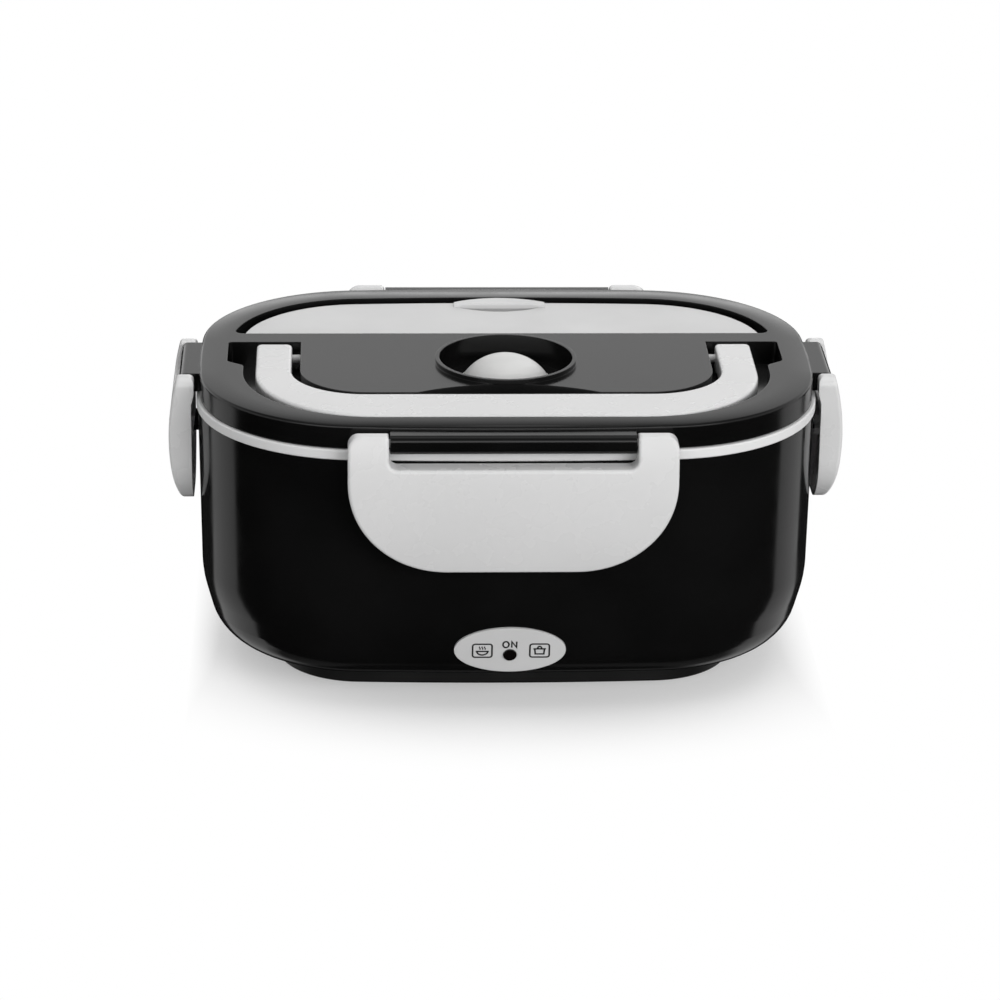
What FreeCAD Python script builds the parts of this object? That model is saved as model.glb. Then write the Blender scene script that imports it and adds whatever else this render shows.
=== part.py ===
import FreeCAD, Part
import math
import os
import Sketcher

# Electric lunch box that warms food: a black shell with a steel pan inside, under a lid held by four latches.
# Millimetres. The origin is on the table under the middle of the box, +Z is up and the front faces -Y.

SIZES = {
    # plan of the shell at its rim: a rectangle with bowed sides and large round corners
    "half_length": 110.2,
    "half_depth": 76.1,
    "side_bow": 430.0,
    "front_bow": 1040.0,
    "corner_round": 58.0,
    # clearances used all over
    "overrun": 3.0,
    "fit": 0.2,
    # outer shell: a nearly upright wall, a knee, a lower slope and a round to the foot
    "shell_height": 86.5,
    "shell_wall": 2.2,
    "knee_height": 24.3,
    "knee_inset": 0.8,
    "knee_round": 40.0,
    "foot_inset": 7.3,
    "foot_round": 17.0,
    # catch ribs that the latches hook under
    "catch_drop": 13.1,
    "catch_height": 3.0,
    "catch_slope": 1.4,
    "catch_reach": 1.5,
    "catch_root": 1.4,
    "front_catch_half": 25.0,
    "side_catch_half": 9.0,
    # collar band on the shell's rim
    "collar_height": 3.7,
    "collar_proud": 0.5,
    "collar_edge": 0.6,
    "collar_step": 2.8,
    "collar_inner": 3.6,
    "collar_ledge_drop": 2.2,
    "tongue_height": 5.1,
    "tongue_inset": 2.4,
    # tub
    "liner_flange_inset": 3.0,
    "liner_flange": 1.5,
    "liner_inset": 3.9,
    "liner_foot_inset": 6.4,
    "liner_wall": 1.4,
    "liner_round": 18.0,
    "opening_length": 60.0,
    "opening_depth": 32.0,
    "opening_round": 8.0,
    "post_x": 46.0,
    "post_y": 34.0,
    "post_radius": 4.0,
    # base cover with its pedestal ring, its feet and its screws
    "foot_proud": 0.6,
    "cover_height": 9.1,
    "cover_inset": 27.7,
    "cover_floor": 2.0,
    "cover_wall": 4.7,
    "cover_lip_inset": 30.9,
    "cover_lip": 2.3,
    "cover_edge": 0.8,
    "cover_boss": 4.0,
    "cover_boss_radius": 5.5,
    "foot_x": 66.0,
    "foot_y": 27.0,
    "foot_radius": 7.0,
    "foot_sink": 0.8,
    "screw_radius": 1.5,
    "screw_gap": 0.02,
    "screw_hole": 1.8,
    "screw_head_radius": 3.2,
    "screw_head": 2.2,
    "screw_well_radius": 3.6,
    "screw_web": 2.4,
    "screw_length": 14.0,
    "pilot_depth": 16.0,
    # heating plate and what hangs under it
    "plate_length": 66.0,
    "plate_depth": 38.0,
    "plate_round": 12.0,
    "plate_thick": 2.0,
    "heater_length": 32.0,
    "heater_depth": 12.0,
    "heater_thick": 5.2,
    "heater_edge": 0.8,
    "bracket_reach": 46.0,
    "bracket_sheet": 1.0,
    "bracket_half": 7.0,
    "bracket_gap": 0.3,
    "bracket_screw_x": 40.0,
    "bracket_screw_head": 1.8,
    "bracket_screw_grip": 1.4,
    "thermostat_y": 22.0,
    "thermostat_radius": 8.0,
    "thermostat_cap": 3.6,
    "thermostat_body_radius": 7.0,
    "thermostat_body": 5.0,
    "terminal_half": 2.4,
    "terminal_thick": 0.8,
    "terminal_drop": 5.0,
    "terminal_x": 3.6,
    "fuse_y": 19.0,
    "fuse_radius": 2.0,
    "fuse_half": 6.0,
    "fuse_lead_radius": 0.5,
    "fuse_lead": 9.0,
    # mains inlet low on the right side
    "inlet_height": 11.6,
    "inlet_half_width": 12.5,
    "inlet_half_height": 6.0,
    "inlet_round": 5.8,
    "inlet_sunk": 1.6,
    "inlet_lean": 3.2,
    "inlet_length": 15.4,
    "mouth_half_width": 9.0,
    "mouth_half_height": 4.4,
    "mouth_round": 4.2,
    "mouth_depth": 12.9,
    "contact_pitch": 4.3,
    "contact_radius": 1.2,
    "contact_length": 8.5,
    "contact_tail": 5.0,
    # indicator oval on the lower front, with its lamp and the board behind it
    "indicator_forward": 3.0,
    "indicator_height": 14.6,
    "indicator_tilt": 15.0,
    "indicator_half_width": 19.6,
    "indicator_half_height": 9.6,
    "indicator_thick": 1.3,
    "lamp_radius": 2.3,
    "lamp_drop": 2.0,
    "lamp_proud": 0.5,
    "lamp_length": 8.0,
    "lamp_play": 0.1,
    "board_half_width": 12.0,
    "board_half_height": 6.0,
    "board_thick": 1.6,
    "board_peg_x": 8.5,
    "board_peg_radius": 1.6,
    # steel pan
    "pan_flange_inset": 3.3,
    "pan_gap": 0.2,
    "pan_sheet": 0.8,
    "pan_inset": 5.9,
    "pan_foot_inset": 8.4,
    "pan_depth": 69.4,
    "pan_round": 14.0,
    # lid shell
    "lid_inset": 0.7,
    "lid_gap": 0.3,
    "lid_height": 8.3,
    "lid_edge": 1.0,
    "lid_wall": 2.2,
    "lid_plate": 2.2,
    "lid_seat_wall": 3.7,
    "cup_wall": 1.4,
    "cup_floor": 1.6,
    # vent well in the lid
    "vent_forward": 7.2,
    "well_radius": 23.9,
    "well_depth": 8.5,
    "well_rim": 1.4,
    "well_rim_height": 1.7,
    "vent_hole": 3.6,
    # handle trough in the lid
    "front_band": 10.2,
    "lobe_band": 10.6,
    "lobe_width": 5.9,
    "lobe_front": 7.0,
    "lobe_slope": 4.5,
    "lobe_round": 2.5,
    "trough_rear": 13.9,
    "trough_outer_round": 47.0,
    "trough_inner_round": 24.0,
    "trough_corner": 1.5,
    "trough_play": 0.4,
    "finger_half": 32.0,
    "finger_bow": 64.0,
    # cutlery tray in the lid
    "tray_inset": 11.4,
    "tray_front": 23.4,
    "tray_depth": 9.5,
    "tray_corner": 2.8,
    # hinge of a latch on the lid's edge
    "hinge_reach": 4.1,
    "hinge_drop": 4.3,
    "lug_nose": 2.9,
    "lug_crown": 3.1,
    "lug_foot": 3.6,
    "lug_end_round": 2.2,
    "lug_root": 1.2,
    "lug_play": 0.4,
    "stub_radius": 1.5,
    "stub_length": 4.0,
    "stub_play": 0.06,
    # latches, measured from their hinge
    "latch_crown": 3.4,
    "latch_heel": 2.5,
    "latch_heel_round": 2.4,
    "latch_heel_drop": 2.8,
    "latch_waist": 1.5,
    "latch_waist_drop": 6.5,
    "latch_drop": 47.1,
    "latch_chin_inner": 1.5,
    "latch_chin_outer": 2.2,
    "latch_top_outer": 3.4,
    "latch_bow": 85.0,
    "latch_wall": 2.0,
    "latch_edge": 1.2,
    "latch_core_top": 4.1,
    "latch_core_chin": 0.7,
    "latch_notch": 8.0,
    "notch_round": 3.0,
    "ear_inner_round": 1.5,
    "front_ear_round": 5.0,
    "front_latch_half": 56.7,
    "front_latch_gap": 42.6,
    "front_latch_chin": 36.4,
    "front_latch_cheek": 26.8,
    "front_cheek_round": 34.0,
    "front_chin_round": 34.0,
    "front_hook_half": 22.0,
    "side_ear_round": 3.6,
    "side_latch_half": 23.4,
    "side_latch_gap": 17.3,
    "side_latch_chin": 12.5,
    "side_latch_cheek": 35.0,
    "side_cheek_round": 17.0,
    "side_chin_round": 17.0,
    "side_hook_half": 7.0,
    "hook_play": 0.5,
    "hook_clear": 0.3,
    "hook_height": 3.5,
    "hook_tip": 1.6,
    "hook_root": 5.4,
    # handle
    "pivot_y": 7.7,
    "arm_nose": 4.3,
    "arm_thick": 7.0,
    "arm_outer_gap": 4.4,
    "arm_width": 12.7,
    "arm_inner_gap": 3.2,
    "arm_end_round": 2.0,
    "bar_gap": 0.9,
    "bar_width": 23.2,
    "bar_round": 2.5,
    "handle_outer_round": 45.0,
    "handle_inner_round": 26.0,
    "handle_edge": 1.2,
    "axle_radius": 1.5,
    "axle_play": 0.06,
    "axle_length": 5.4,
    # cutlery cover
    "cover_gap": 3.6,
    "cover_drop": 1.0,
    "cover_nose": 1.0,
    "cover_front_gap": 0.4,
    "cover_pin_radius": 0.9,
    "cover_pin_play": 0.06,
    "cover_pin_start": 18.4,
    "cover_pin_end": 11.3,
    "tab_half": 17.0,
    "tab_bow": 32.0,
    "tab_front": 20.1,
    "tab_side": 17.6,
    "tab_rise": 1.4,
    "tab_edge": 0.6,
    "scoop_half": 15.0,
    "scoop_depth": 0.9,
    "scoop_bow": 25.0,
    # inner panel and gasket of the lid
    "gasket_outer": 3.8,
    "gasket_inner": 6.6,
    "gasket_height": 1.8,
    "panel_inset": 3.2,
    "panel_flange": 1.4,
    "panel_boss": 7.3,
    "panel_wall": 1.0,
    "panel_gap": 1.2,
    "panel_thick": 1.4,
    "panel_round": 3.0,
    "panel_hole": 4.2,
    # silicone vent plug
    "plug_radius": 16.0,
    "plug_flange_radius": 16.6,
    "plug_flange": 1.5,
    "plug_rise": 2.3,
    "plug_stem_radius": 3.3,
    "plug_stem": 3.0,
}

# Heights and places that follow from the sizes above, each as a sum of names.
DERIVED = {
    "shell_foot": "foot_proud cover_height",
    "shell_rim": "shell_foot shell_height",
    "shell_knee": "shell_foot knee_height",
    "catch_foot": "shell_rim -catch_drop",
    "collar_top": "shell_rim collar_height",
    "collar_ledge": "collar_top -collar_ledge_drop",
    "tongue_foot": "shell_rim -tongue_height",
    "liner_top": "collar_ledge liner_flange",
    "pan_flange_foot": "liner_top pan_gap",
    "pan_flange_top": "pan_flange_foot pan_sheet",
    "pan_foot": "pan_flange_top -pan_depth",
    "plate_foot": "pan_foot -plate_thick",
    "liner_foot": "plate_foot -liner_wall",
    "cover_floor_top": "foot_proud cover_floor",
    "boss_top": "cover_floor_top cover_boss",
    "screw_seat": "boss_top -screw_web",
    "heater_foot": "plate_foot -heater_thick",
    "inlet_z": "shell_foot inlet_height",
    "inlet_face": "half_length -inlet_sunk",
    "inlet_back": "inlet_face -inlet_length",
    "mouth_floor": "inlet_face -mouth_depth",
    "indicator_y": "half_depth -indicator_forward",
    "indicator_z": "shell_foot indicator_height",
    "lid_foot": "collar_top lid_gap",
    "lid_top": "lid_foot lid_height",
    "lid_under": "lid_top -lid_plate",
    "gasket_top": "pan_flange_top gasket_height",
    "lid_seat": "gasket_top panel_flange",
    "well_floor": "lid_top -well_depth",
    "tray_floor": "lid_top -tray_depth",
    "panel_top": "tray_floor -cup_floor -panel_gap",
    "panel_foot": "panel_top -panel_thick",
    "pivot_z": "lid_top -arm_nose",
    "trough_floor": "pivot_z -arm_nose -trough_play",
    "arm_foot": "lid_top -arm_thick",
    "trough_lobe": "half_length -lobe_band",
    "trough_outer": "trough_lobe -lobe_width",
    "arm_outer": "trough_outer -arm_outer_gap",
    "arm_inner": "arm_outer -arm_width",
    "trough_inner": "arm_inner -arm_inner_gap",
    "trough_front": "half_depth -lid_inset -front_band",
    "bar_front": "trough_front -bar_gap",
    "bar_rear": "bar_front -bar_width",
    "island_front": "bar_rear -bar_gap",
    "hinge_x": "half_length -lid_inset hinge_reach",
    "hinge_y": "half_depth -lid_inset hinge_reach",
    "hinge_z": "lid_top -hinge_drop",
    "catch_tip": "hinge_reach -lid_inset -catch_reach",
    "hook_tip_in": "catch_tip -hook_clear",
    "hook_top": "hinge_z -catch_foot hook_play",
    "hook_foot": "hook_top hook_height",
    "cover_top": "lid_top -cover_drop",
    "cover_foot": "cover_top -cover_nose -cover_nose",
    "cover_axis_y": "tray_front cover_front_gap cover_nose",
    "cover_axis_z": "cover_top -cover_nose",
    "plug_top": "lid_top plug_rise",
}

doc = FreeCAD.newDocument("FoodWarmer")
sheet = doc.addObject("Spreadsheet::Sheet", "Sizes")
for row, (alias, number) in enumerate(SIZES.items(), 1):
    sheet.set(f"A{row}", alias)
    sheet.set(f"B{row}", str(number))
    sheet.setAlias(f"B{row}", alias)
doc.recompute()


def terms(words, sign=1):
    """Splits a sum such as "lid_top -lid_edge" into signed names of the sheet."""
    found = []
    for word in words.split():
        turn = -sign if word.startswith("-") else sign
        name = word.lstrip("-")
        found += terms(DERIVED[name], turn) if name in DERIVED else [(turn, name)]
    return found


def amount(words):
    return sum(sign * getattr(sheet, name) for sign, name in terms(words))


def formula(words):
    """The same sum as an expression that a property can be bound to."""
    return "0" + "".join((" - " if sign < 0 else " + ") + "Sizes." + name for sign, name in terms(words))


def negative(words):
    return " ".join(("-" if sign > 0 else "") + name for sign, name in terms(words))


def new_body(label):
    body = doc.addObject("PartDesign::Body", label)
    body.Label = label
    return body


def sketch_on(body, name, role, level=""):
    """A sketch on one of the body's own planes, raised by level along the plane's normal."""
    sketch = body.newObject("Sketcher::SketchObject", name)
    plane = next(feature for feature in body.Origin.OriginFeatures if feature.Role == role)
    sketch.AttachmentSupport = [(plane, "")]
    sketch.MapMode = "FlatFace"
    if level:
        sketch.setExpression("AttachmentOffset.Base.z", formula(level))
    return sketch


def dimension(sketch, kind, where, words):
    """Adds a dimension and ties it to the sheet."""
    number = sketch.addConstraint(Sketcher.Constraint(kind, *where, amount(words)))
    sketch.setExpression(f"Constraints[{number}]", formula(words))


def place(sketch, geometry, end, x, y):
    """Ties a point to the sheet; an empty word means that it lies on the axis."""
    for kind, axis, words in (("DistanceX", -2, x), ("DistanceY", -1, y)):
        if words:
            dimension(sketch, kind, (-1, 1, geometry, end), words)
        else:
            sketch.addConstraint(Sketcher.Constraint("PointOnObject", geometry, end, axis))


def vector(x, y):
    return FreeCAD.Vector(amount(x), amount(y), 0)


def arc_between(centre, radius, start, end):
    """Arc that runs counterclockwise from one point to the other."""
    angles = [math.atan2(point.y - centre.y, point.x - centre.x) for point in (start, end)]
    return Part.ArcOfCircle(Part.Circle(centre, FreeCAD.Vector(0, 0, 1), radius), *angles)


def bulge_between(start, end, radius):
    """Arc of this radius that bulges to the right of the way from start to end."""
    chord = end - start
    depth = math.sqrt(radius**2 - (chord.Length / 2) ** 2)
    inward = FreeCAD.Vector(-chord.y, chord.x, 0).normalize()
    return arc_between((start + end) * 0.5 + inward * depth, radius, start, end)


def outline(sketch, corners):
    """Closed outline, counterclockwise, through corners (x, y, round, bow).

    The round is the corner's radius and the bow is the radius of the side that follows; both may be empty.
    """
    corners = [(*corner, "", "")[:4] for corner in corners]
    count = len(corners)
    points = [vector(x, y) for x, y, _, _ in corners]
    ends, rounds = [], []
    for index, (_, _, words, _) in enumerate(corners):
        point = points[index]
        before = (points[index - 1] - point).normalize()
        after = (points[(index + 1) % count] - point).normalize()
        radius = amount(words)
        reach = radius / math.tan(before.getAngle(after) / 2) if words else 0
        ends.append((point + before * reach, point + after * reach))
        depth = math.hypot(radius, reach)
        centre = point + (before + after).normalize() * depth if words else point
        rounds.append((centre, radius, before.cross(after).z < 0))
    sides = []
    for index, (_, _, _, bow) in enumerate(corners):
        start = ends[index][1]
        end = ends[(index + 1) % count][0]
        side = bulge_between(start, end, amount(bow)) if bow else Part.LineSegment(start, end)
        sides.append(sketch.addGeometry(side))
        if bow:
            dimension(sketch, "Radius", (sides[-1],), bow)
    for index, (x, y, words, _) in enumerate(corners):
        before, after = sides[index - 1], sides[index]
        if not words:
            sketch.addConstraint(Sketcher.Constraint("Coincident", before, 2, after, 1))
            place(sketch, after, 1, x, y)
            continue
        centre, radius, left = rounds[index]
        first, last = ends[index] if left else reversed(ends[index])
        arc = sketch.addGeometry(arc_between(centre, radius, first, last))
        corner = sketch.addGeometry(Part.Point(points[index]), True)
        place(sketch, corner, 1, x, y)
        sketch.addConstraint(Sketcher.Constraint("PointOnObject", corner, 1, before))
        sketch.addConstraint(Sketcher.Constraint("PointOnObject", corner, 1, after))
        sketch.addConstraint(Sketcher.Constraint("Tangent", before, 2, arc, 1 if left else 2))
        sketch.addConstraint(Sketcher.Constraint("Tangent", after, 1, arc, 2 if left else 1))
        dimension(sketch, "Radius", (arc,), words)


def rectangle(sketch, half_x, half_y, corner=""):
    """Rectangle about the sketch's origin."""
    signs = (("-", "-"), ("", "-"), ("", ""), ("-", ""))
    outline(sketch, [(x + half_x, y + half_y, corner) for x, y in signs])


def slot_about(sketch, y_half, z, z_half, corner):
    """Rectangle with round corners about a height, symmetrical about the sketch's upright axis."""
    low, high = f"{z} {negative(z_half)}", f"{z} {z_half}"
    sides = ((negative(y_half), low), (y_half, low), (y_half, high), (negative(y_half), high))
    outline(sketch, [(*point, corner) for point in sides])


def circle(sketch, x, y, radius):
    number = sketch.addGeometry(Part.Circle(vector(x, y), FreeCAD.Vector(0, 0, 1), amount(radius)))
    place(sketch, number, 3, x, y)
    dimension(sketch, "Radius", (number,), radius)


def circles(sketch, x, y, radius):
    """Four equal circles, one in each quarter of the plan."""
    for across, along in (("-", "-"), ("", "-"), ("", ""), ("-", "")):
        circle(sketch, across + x, along + y, radius)


def oval(sketch, half_width, half_height):
    """Ellipse about the sketch's own origin."""
    tips = FreeCAD.Vector(amount(half_width), 0, 0), FreeCAD.Vector(0, amount(half_height), 0)
    number = sketch.addGeometry(Part.Ellipse(*tips, FreeCAD.Vector(0, 0, 0)))
    sketch.exposeInternalGeometry(number)
    wide, tall = number + 1, number + 2
    sketch.addConstraint(Sketcher.Constraint("Coincident", number, 3, -1, 1))
    sketch.addConstraint(Sketcher.Constraint("Horizontal", wide))
    dimension(sketch, "Distance", (wide,), f"{half_width} {half_width}")
    dimension(sketch, "Distance", (tall,), f"{half_height} {half_height}")


def plan_arcs(inset):
    """Centres, radii and joints of the rim's plan drawn in by inset, for its rear right quarter."""
    side = vector("half_length -side_bow", "")
    rear = vector("", "half_depth -front_bow")
    side_reach, rear_reach = amount("side_bow -corner_round"), amount("front_bow -corner_round")
    forward = rear - side
    span = forward.Length
    along = (span**2 + side_reach**2 - rear_reach**2) / (span + span)
    forward.normalize()
    across = FreeCAD.Vector(-forward.y, forward.x, 0) * math.sqrt(side_reach**2 - along**2)
    corner = side + forward * along + across
    drawn = negative(inset)
    radii = [amount(f"{bow} {drawn}") for bow in ("side_bow", "front_bow", "corner_round")]
    side_joint = side + (corner - side).normalize() * radii[0]
    rear_joint = rear + (corner - rear).normalize() * radii[1]
    return (side, rear, corner), radii, (side_joint, rear_joint)


def mirrored(point, x, y):
    return FreeCAD.Vector(point.x * x, point.y * y, 0)


def plan(sketch, inset):
    """The rim's plan drawn in by inset: eight arcs, each tangent to the next."""
    (side, rear, corner), (side_radius, rear_radius, corner_radius), pair = plan_arcs(inset)
    quarters = ((1, 1), (-1, 1), (-1, -1), (1, -1))
    joints, centres = [], []
    for index, quarter in enumerate(quarters):
        ends = [mirrored(joint, *quarter) for joint in pair]
        joints += reversed(ends) if index % 2 else ends
        middle = side if index % 2 else rear
        centres += [mirrored(corner, *quarter), mirrored(middle, *quarter)]
    radii = [corner_radius, rear_radius, corner_radius, side_radius] * 2
    count = len(joints)
    arcs = []
    for index in range(count):
        arc = arc_between(centres[index], radii[index], joints[index], joints[(index + 1) % count])
        arcs.append(sketch.addGeometry(arc))
    for index, arc in enumerate(arcs):
        sketch.addConstraint(Sketcher.Constraint("Tangent", arc, 2, arcs[(index + 1) % count], 1))
    drawn = negative(inset)
    place(sketch, arcs[1], 3, "", "half_depth -front_bow")
    place(sketch, arcs[5], 3, "", "front_bow -half_depth")
    place(sketch, arcs[3], 3, "side_bow -half_length", "")
    place(sketch, arcs[7], 3, "half_length -side_bow", "")
    dimension(sketch, "Radius", (arcs[1],), f"front_bow {drawn}")
    dimension(sketch, "Radius", (arcs[3],), f"side_bow {drawn}")
    for arc in arcs[0::2]:
        dimension(sketch, "Radius", (arc,), f"corner_round {drawn}")


def rear_plan(sketch, inset, front):
    """The part of the drawn-in plan that lies behind a straight front edge."""
    (side, rear, corner), (side_radius, rear_radius, corner_radius), (_, joint) = plan_arcs(inset)
    height = amount(front)
    half = corner.x + math.sqrt(corner_radius**2 - (height - corner.y) ** 2)
    tip = FreeCAD.Vector(half, height, 0)
    right = sketch.addGeometry(arc_between(corner, corner_radius, tip, joint))
    back = sketch.addGeometry(arc_between(rear, rear_radius, joint, mirrored(joint, -1, 1)))
    ends = mirrored(joint, -1, 1), mirrored(tip, -1, 1)
    left = sketch.addGeometry(arc_between(mirrored(corner, -1, 1), corner_radius, *ends))
    edge = sketch.addGeometry(Part.LineSegment(mirrored(tip, -1, 1), tip))
    sketch.addConstraint(Sketcher.Constraint("Tangent", right, 2, back, 1))
    sketch.addConstraint(Sketcher.Constraint("Tangent", back, 2, left, 1))
    sketch.addConstraint(Sketcher.Constraint("Coincident", left, 2, edge, 1))
    sketch.addConstraint(Sketcher.Constraint("Coincident", edge, 2, right, 1))
    sketch.addConstraint(Sketcher.Constraint("Horizontal", edge))
    dimension(sketch, "DistanceY", (-1, 1, edge, 1), front)
    drawn = negative(inset)
    place(sketch, back, 3, "", "half_depth -front_bow")
    dimension(sketch, "Radius", (back,), f"front_bow {drawn}")
    for arc, sign, words in ((right, 1, "half_length -side_bow"), (left, -1, "side_bow -half_length")):
        dimension(sketch, "Radius", (arc,), f"corner_round {drawn}")
        whole = Part.Circle(mirrored(side, sign, 1), FreeCAD.Vector(0, 0, 1), side_radius)
        guide = sketch.addGeometry(whole, True)
        place(sketch, guide, 3, words, "")
        dimension(sketch, "Radius", (guide,), f"side_bow {drawn}")
        sketch.addConstraint(Sketcher.Constraint("Tangent", arc, guide))


def extrude(body, kind, sketch, length, settings):
    feature = body.newObject("PartDesign::" + kind, f"{sketch.Name}_{kind.lower()}")
    feature.Profile = sketch
    feature.setExpression("Length", formula(length))
    for name, setting in settings.items():
        setattr(feature, name, setting)
    doc.recompute()
    return feature


def pad(body, sketch, length, **settings):
    return extrude(body, "Pad", sketch, length, settings)


def pocket(body, sketch, length, **settings):
    """A cut, which has to take material away."""
    before = body.Shape.Volume
    feature = extrude(body, "Pocket", sketch, length, settings)
    if not body.Shape.Volume < before:
        raise ValueError(f"{sketch.Name} cuts nothing")
    return feature


def plan_pad(body, name, inset, foot, top, inner=None):
    """Upright block with the drawn-in plan between two heights, or a ring if inner is given."""
    sketch = sketch_on(body, name, "XY_Plane", foot)
    plan(sketch, inset)
    if inner is not None:
        plan(sketch, inner)
    return pad(body, sketch, f"{top} {negative(foot)}")


def plan_pocket(body, name, inset, foot, top):
    sketch = sketch_on(body, name, "XY_Plane", top)
    plan(sketch, inset)
    return pocket(body, sketch, f"{top} {negative(foot)}")


def plan_loft(body, kind, name, sections):
    """Straight-sided loft through drawn-in plans, each given as (inset, height)."""
    sketches = []
    for number, (inset, level) in enumerate(sections):
        sketch = sketch_on(body, f"{name}_{number}", "XY_Plane", level)
        plan(sketch, inset)
        sketches.append(sketch)
    doc.recompute()
    feature = body.newObject("PartDesign::" + kind, name)
    feature.Profile = sketches[0]
    feature.Sections = sketches[1:]
    feature.Ruled = True
    doc.recompute()
    return feature


def flat_edges(shape, level):
    """Names of the edges that lie flat at this height."""
    height = amount(level)
    near = amount("fit") / 100
    names = []
    for number, edge in enumerate(shape.Edges, 1):
        box = edge.BoundBox
        if abs(box.ZMin - height) < near and abs(box.ZMax - height) < near:
            names.append(f"Edge{number}")
    return names


def upright_edges(shape, y, foot):
    """Names of the upright straight edges in the plane at this y that stand on this height."""
    near = amount("fit") / 100
    found = []
    for number, edge in enumerate(shape.Edges, 1):
        box = edge.BoundBox
        upright = isinstance(edge.Curve, Part.Line) and box.XLength < near and box.YLength < near
        if upright and abs(box.YMin - amount(y)) < near and abs(box.ZMin - amount(foot)) < near:
            found.append(f"Edge{number}")
    return found


def round_edges(body, names, radius):
    """Rounds the named edges or faces of the body as it stands."""
    base = body.Tip
    feature = body.newObject("PartDesign::Fillet", f"{body.Name}_round")
    feature.Base = (base, names)
    feature.setExpression("Radius", formula(radius))
    doc.recompute()
    return feature


def make_outer_shell():
    """Black moulded housing, open above, with the oval seat, the inlet opening and four catch ribs."""
    body = new_body("outer_shell")
    plan_loft(
        body,
        "AdditiveLoft",
        "shell_outside",
        [("", "shell_rim"), ("knee_inset", "shell_knee"), ("foot_inset", "shell_foot")],
    )
    plan_loft(
        body,
        "SubtractiveLoft",
        "shell_inside",
        [
            ("shell_wall", "shell_rim"),
            ("knee_inset shell_wall", "shell_knee"),
            ("foot_inset shell_wall", "shell_foot shell_wall"),
        ],
    )
    round_edges(body, flat_edges(body.Shape, "shell_foot shell_wall"), "foot_round -shell_wall")
    round_edges(body, flat_edges(body.Shape, "shell_foot"), "foot_round")
    round_edges(body, flat_edges(body.Shape, "shell_knee"), "knee_round")
    plan_pocket(body, "base_opening", "cover_lip_inset -fit", "shell_foot", "shell_foot shell_wall")
    for plane, half, run in (("YZ_Plane", "half_depth", "front"), ("XZ_Plane", "half_length", "side")):
        sketch = sketch_on(body, f"{run}_catches", plane)
        root, tip = f"{half} -catch_root", f"{half} catch_reach"
        crown = "catch_foot catch_height"
        section = [(root, "catch_foot"), (tip, "catch_foot"), (tip, f"{crown} -catch_slope"), (root, crown)]
        outline(sketch, section)
        outline(sketch, [(negative(x), z) for x, z in reversed(section)])
        width = f"{run}_catch_half"
        pad(body, sketch, f"{width} {width}", SideType="Symmetric")
    opening = sketch_on(body, "inlet_opening", "YZ_Plane", "inlet_back")
    slot_about(opening, "inlet_half_width fit", "inlet_z", "inlet_half_height fit", "inlet_round")
    pocket(body, opening, "inlet_length overrun", Reversed=True)
    seat = oval_sketch(body, "indicator_seat")
    oval(seat, "indicator_half_width fit", "indicator_half_height fit")
    seat_cut = pocket(body, seat, "indicator_thick")
    seat_cut.SideType = "Two sides"
    seat_cut.setExpression("Length2", formula("overrun"))
    window = oval_sketch(body, "lamp_window")
    circle(window, "", "-lamp_drop", "lamp_radius lamp_play")
    pocket(body, window, "lamp_length")
    pegs = oval_sketch(body, "board_pegs", "lamp_length -lamp_proud")
    for side in ("-", ""):
        circle(pegs, side + "board_peg_x", "-lamp_drop", "board_peg_radius")
    pad(body, pegs, "lamp_length -lamp_proud -indicator_thick")
    return body


def oval_sketch(body, name, depth=""):
    """Sketch on the face of the indicator oval, which leans with the lower wall, or this deep behind it."""
    sketch = sketch_on(body, name, "XZ_Plane")
    lean = FreeCAD.Rotation(FreeCAD.Vector(1, 0, 0), SIZES["indicator_tilt"])
    sketch.AttachmentOffset = FreeCAD.Placement(FreeCAD.Vector(), lean)
    back = f"({formula(depth)})"
    rise, retreat = f"{back} * sin(Sizes.indicator_tilt)", f"{back} * cos(Sizes.indicator_tilt)"
    sketch.setExpression("AttachmentOffset.Rotation.Angle", "Sizes.indicator_tilt")
    sketch.setExpression("AttachmentOffset.Base.y", f"{formula('indicator_z')} + {rise}")
    sketch.setExpression("AttachmentOffset.Base.z", f"{formula('indicator_y')} - {retreat}")
    return sketch


def make_indicator_plate():
    """Light grey oval with a hole for the lamp."""
    body = new_body("indicator_plate")
    face = oval_sketch(body, "plate_face")
    oval(face, "indicator_half_width", "indicator_half_height")
    circle(face, "", "-lamp_drop", "lamp_radius lamp_play")
    pad(body, face, "indicator_thick", Reversed=True)
    return body


def make_lamp_lens():
    """Dark lens that carries the light from the board out through the oval."""
    body = new_body("lamp_lens")
    front = oval_sketch(body, "lens_front", "-lamp_proud")
    circle(front, "", "-lamp_drop", "lamp_radius")
    pad(body, front, "lamp_length", Reversed=True)
    return body


def make_lamp_board():
    """Small circuit board on two pegs of the shell."""
    body = new_body("lamp_board")
    front = oval_sketch(body, "board_front", "lamp_length -lamp_proud")
    rectangle(front, "board_half_width", "board_half_height")
    pad(body, front, "board_thick", Reversed=True)
    return body


def make_collar_ring():
    """Light grey band on the shell's rim, with a tongue inside the wall and a ledge for the tub."""
    body = new_body("collar_ring")
    plan_pad(body, "collar_band", "-collar_proud", "shell_rim", "collar_top", inner="collar_inner")
    names = flat_edges(body.Shape, "collar_top") + flat_edges(body.Shape, "shell_rim")
    outer = [name for name in names if edge_reach(body.Shape, name) > amount("half_length")]
    round_edges(body, outer, "collar_edge")
    plan_pad(body, "collar_tongue", "tongue_inset", "tongue_foot", "shell_rim", inner="collar_inner")
    plan_pocket(body, "collar_rebate", "collar_step", "collar_ledge", "collar_top")
    return body


def edge_reach(shape, name):
    """How far the drawn-in plan that this edge belongs to reaches along X."""
    wires = [wire for wire in shape.Wires if any(edge.isSame(shape.getElement(name)) for edge in wire.Edges)]
    return max(wire.BoundBox.XMax for wire in wires)


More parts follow.
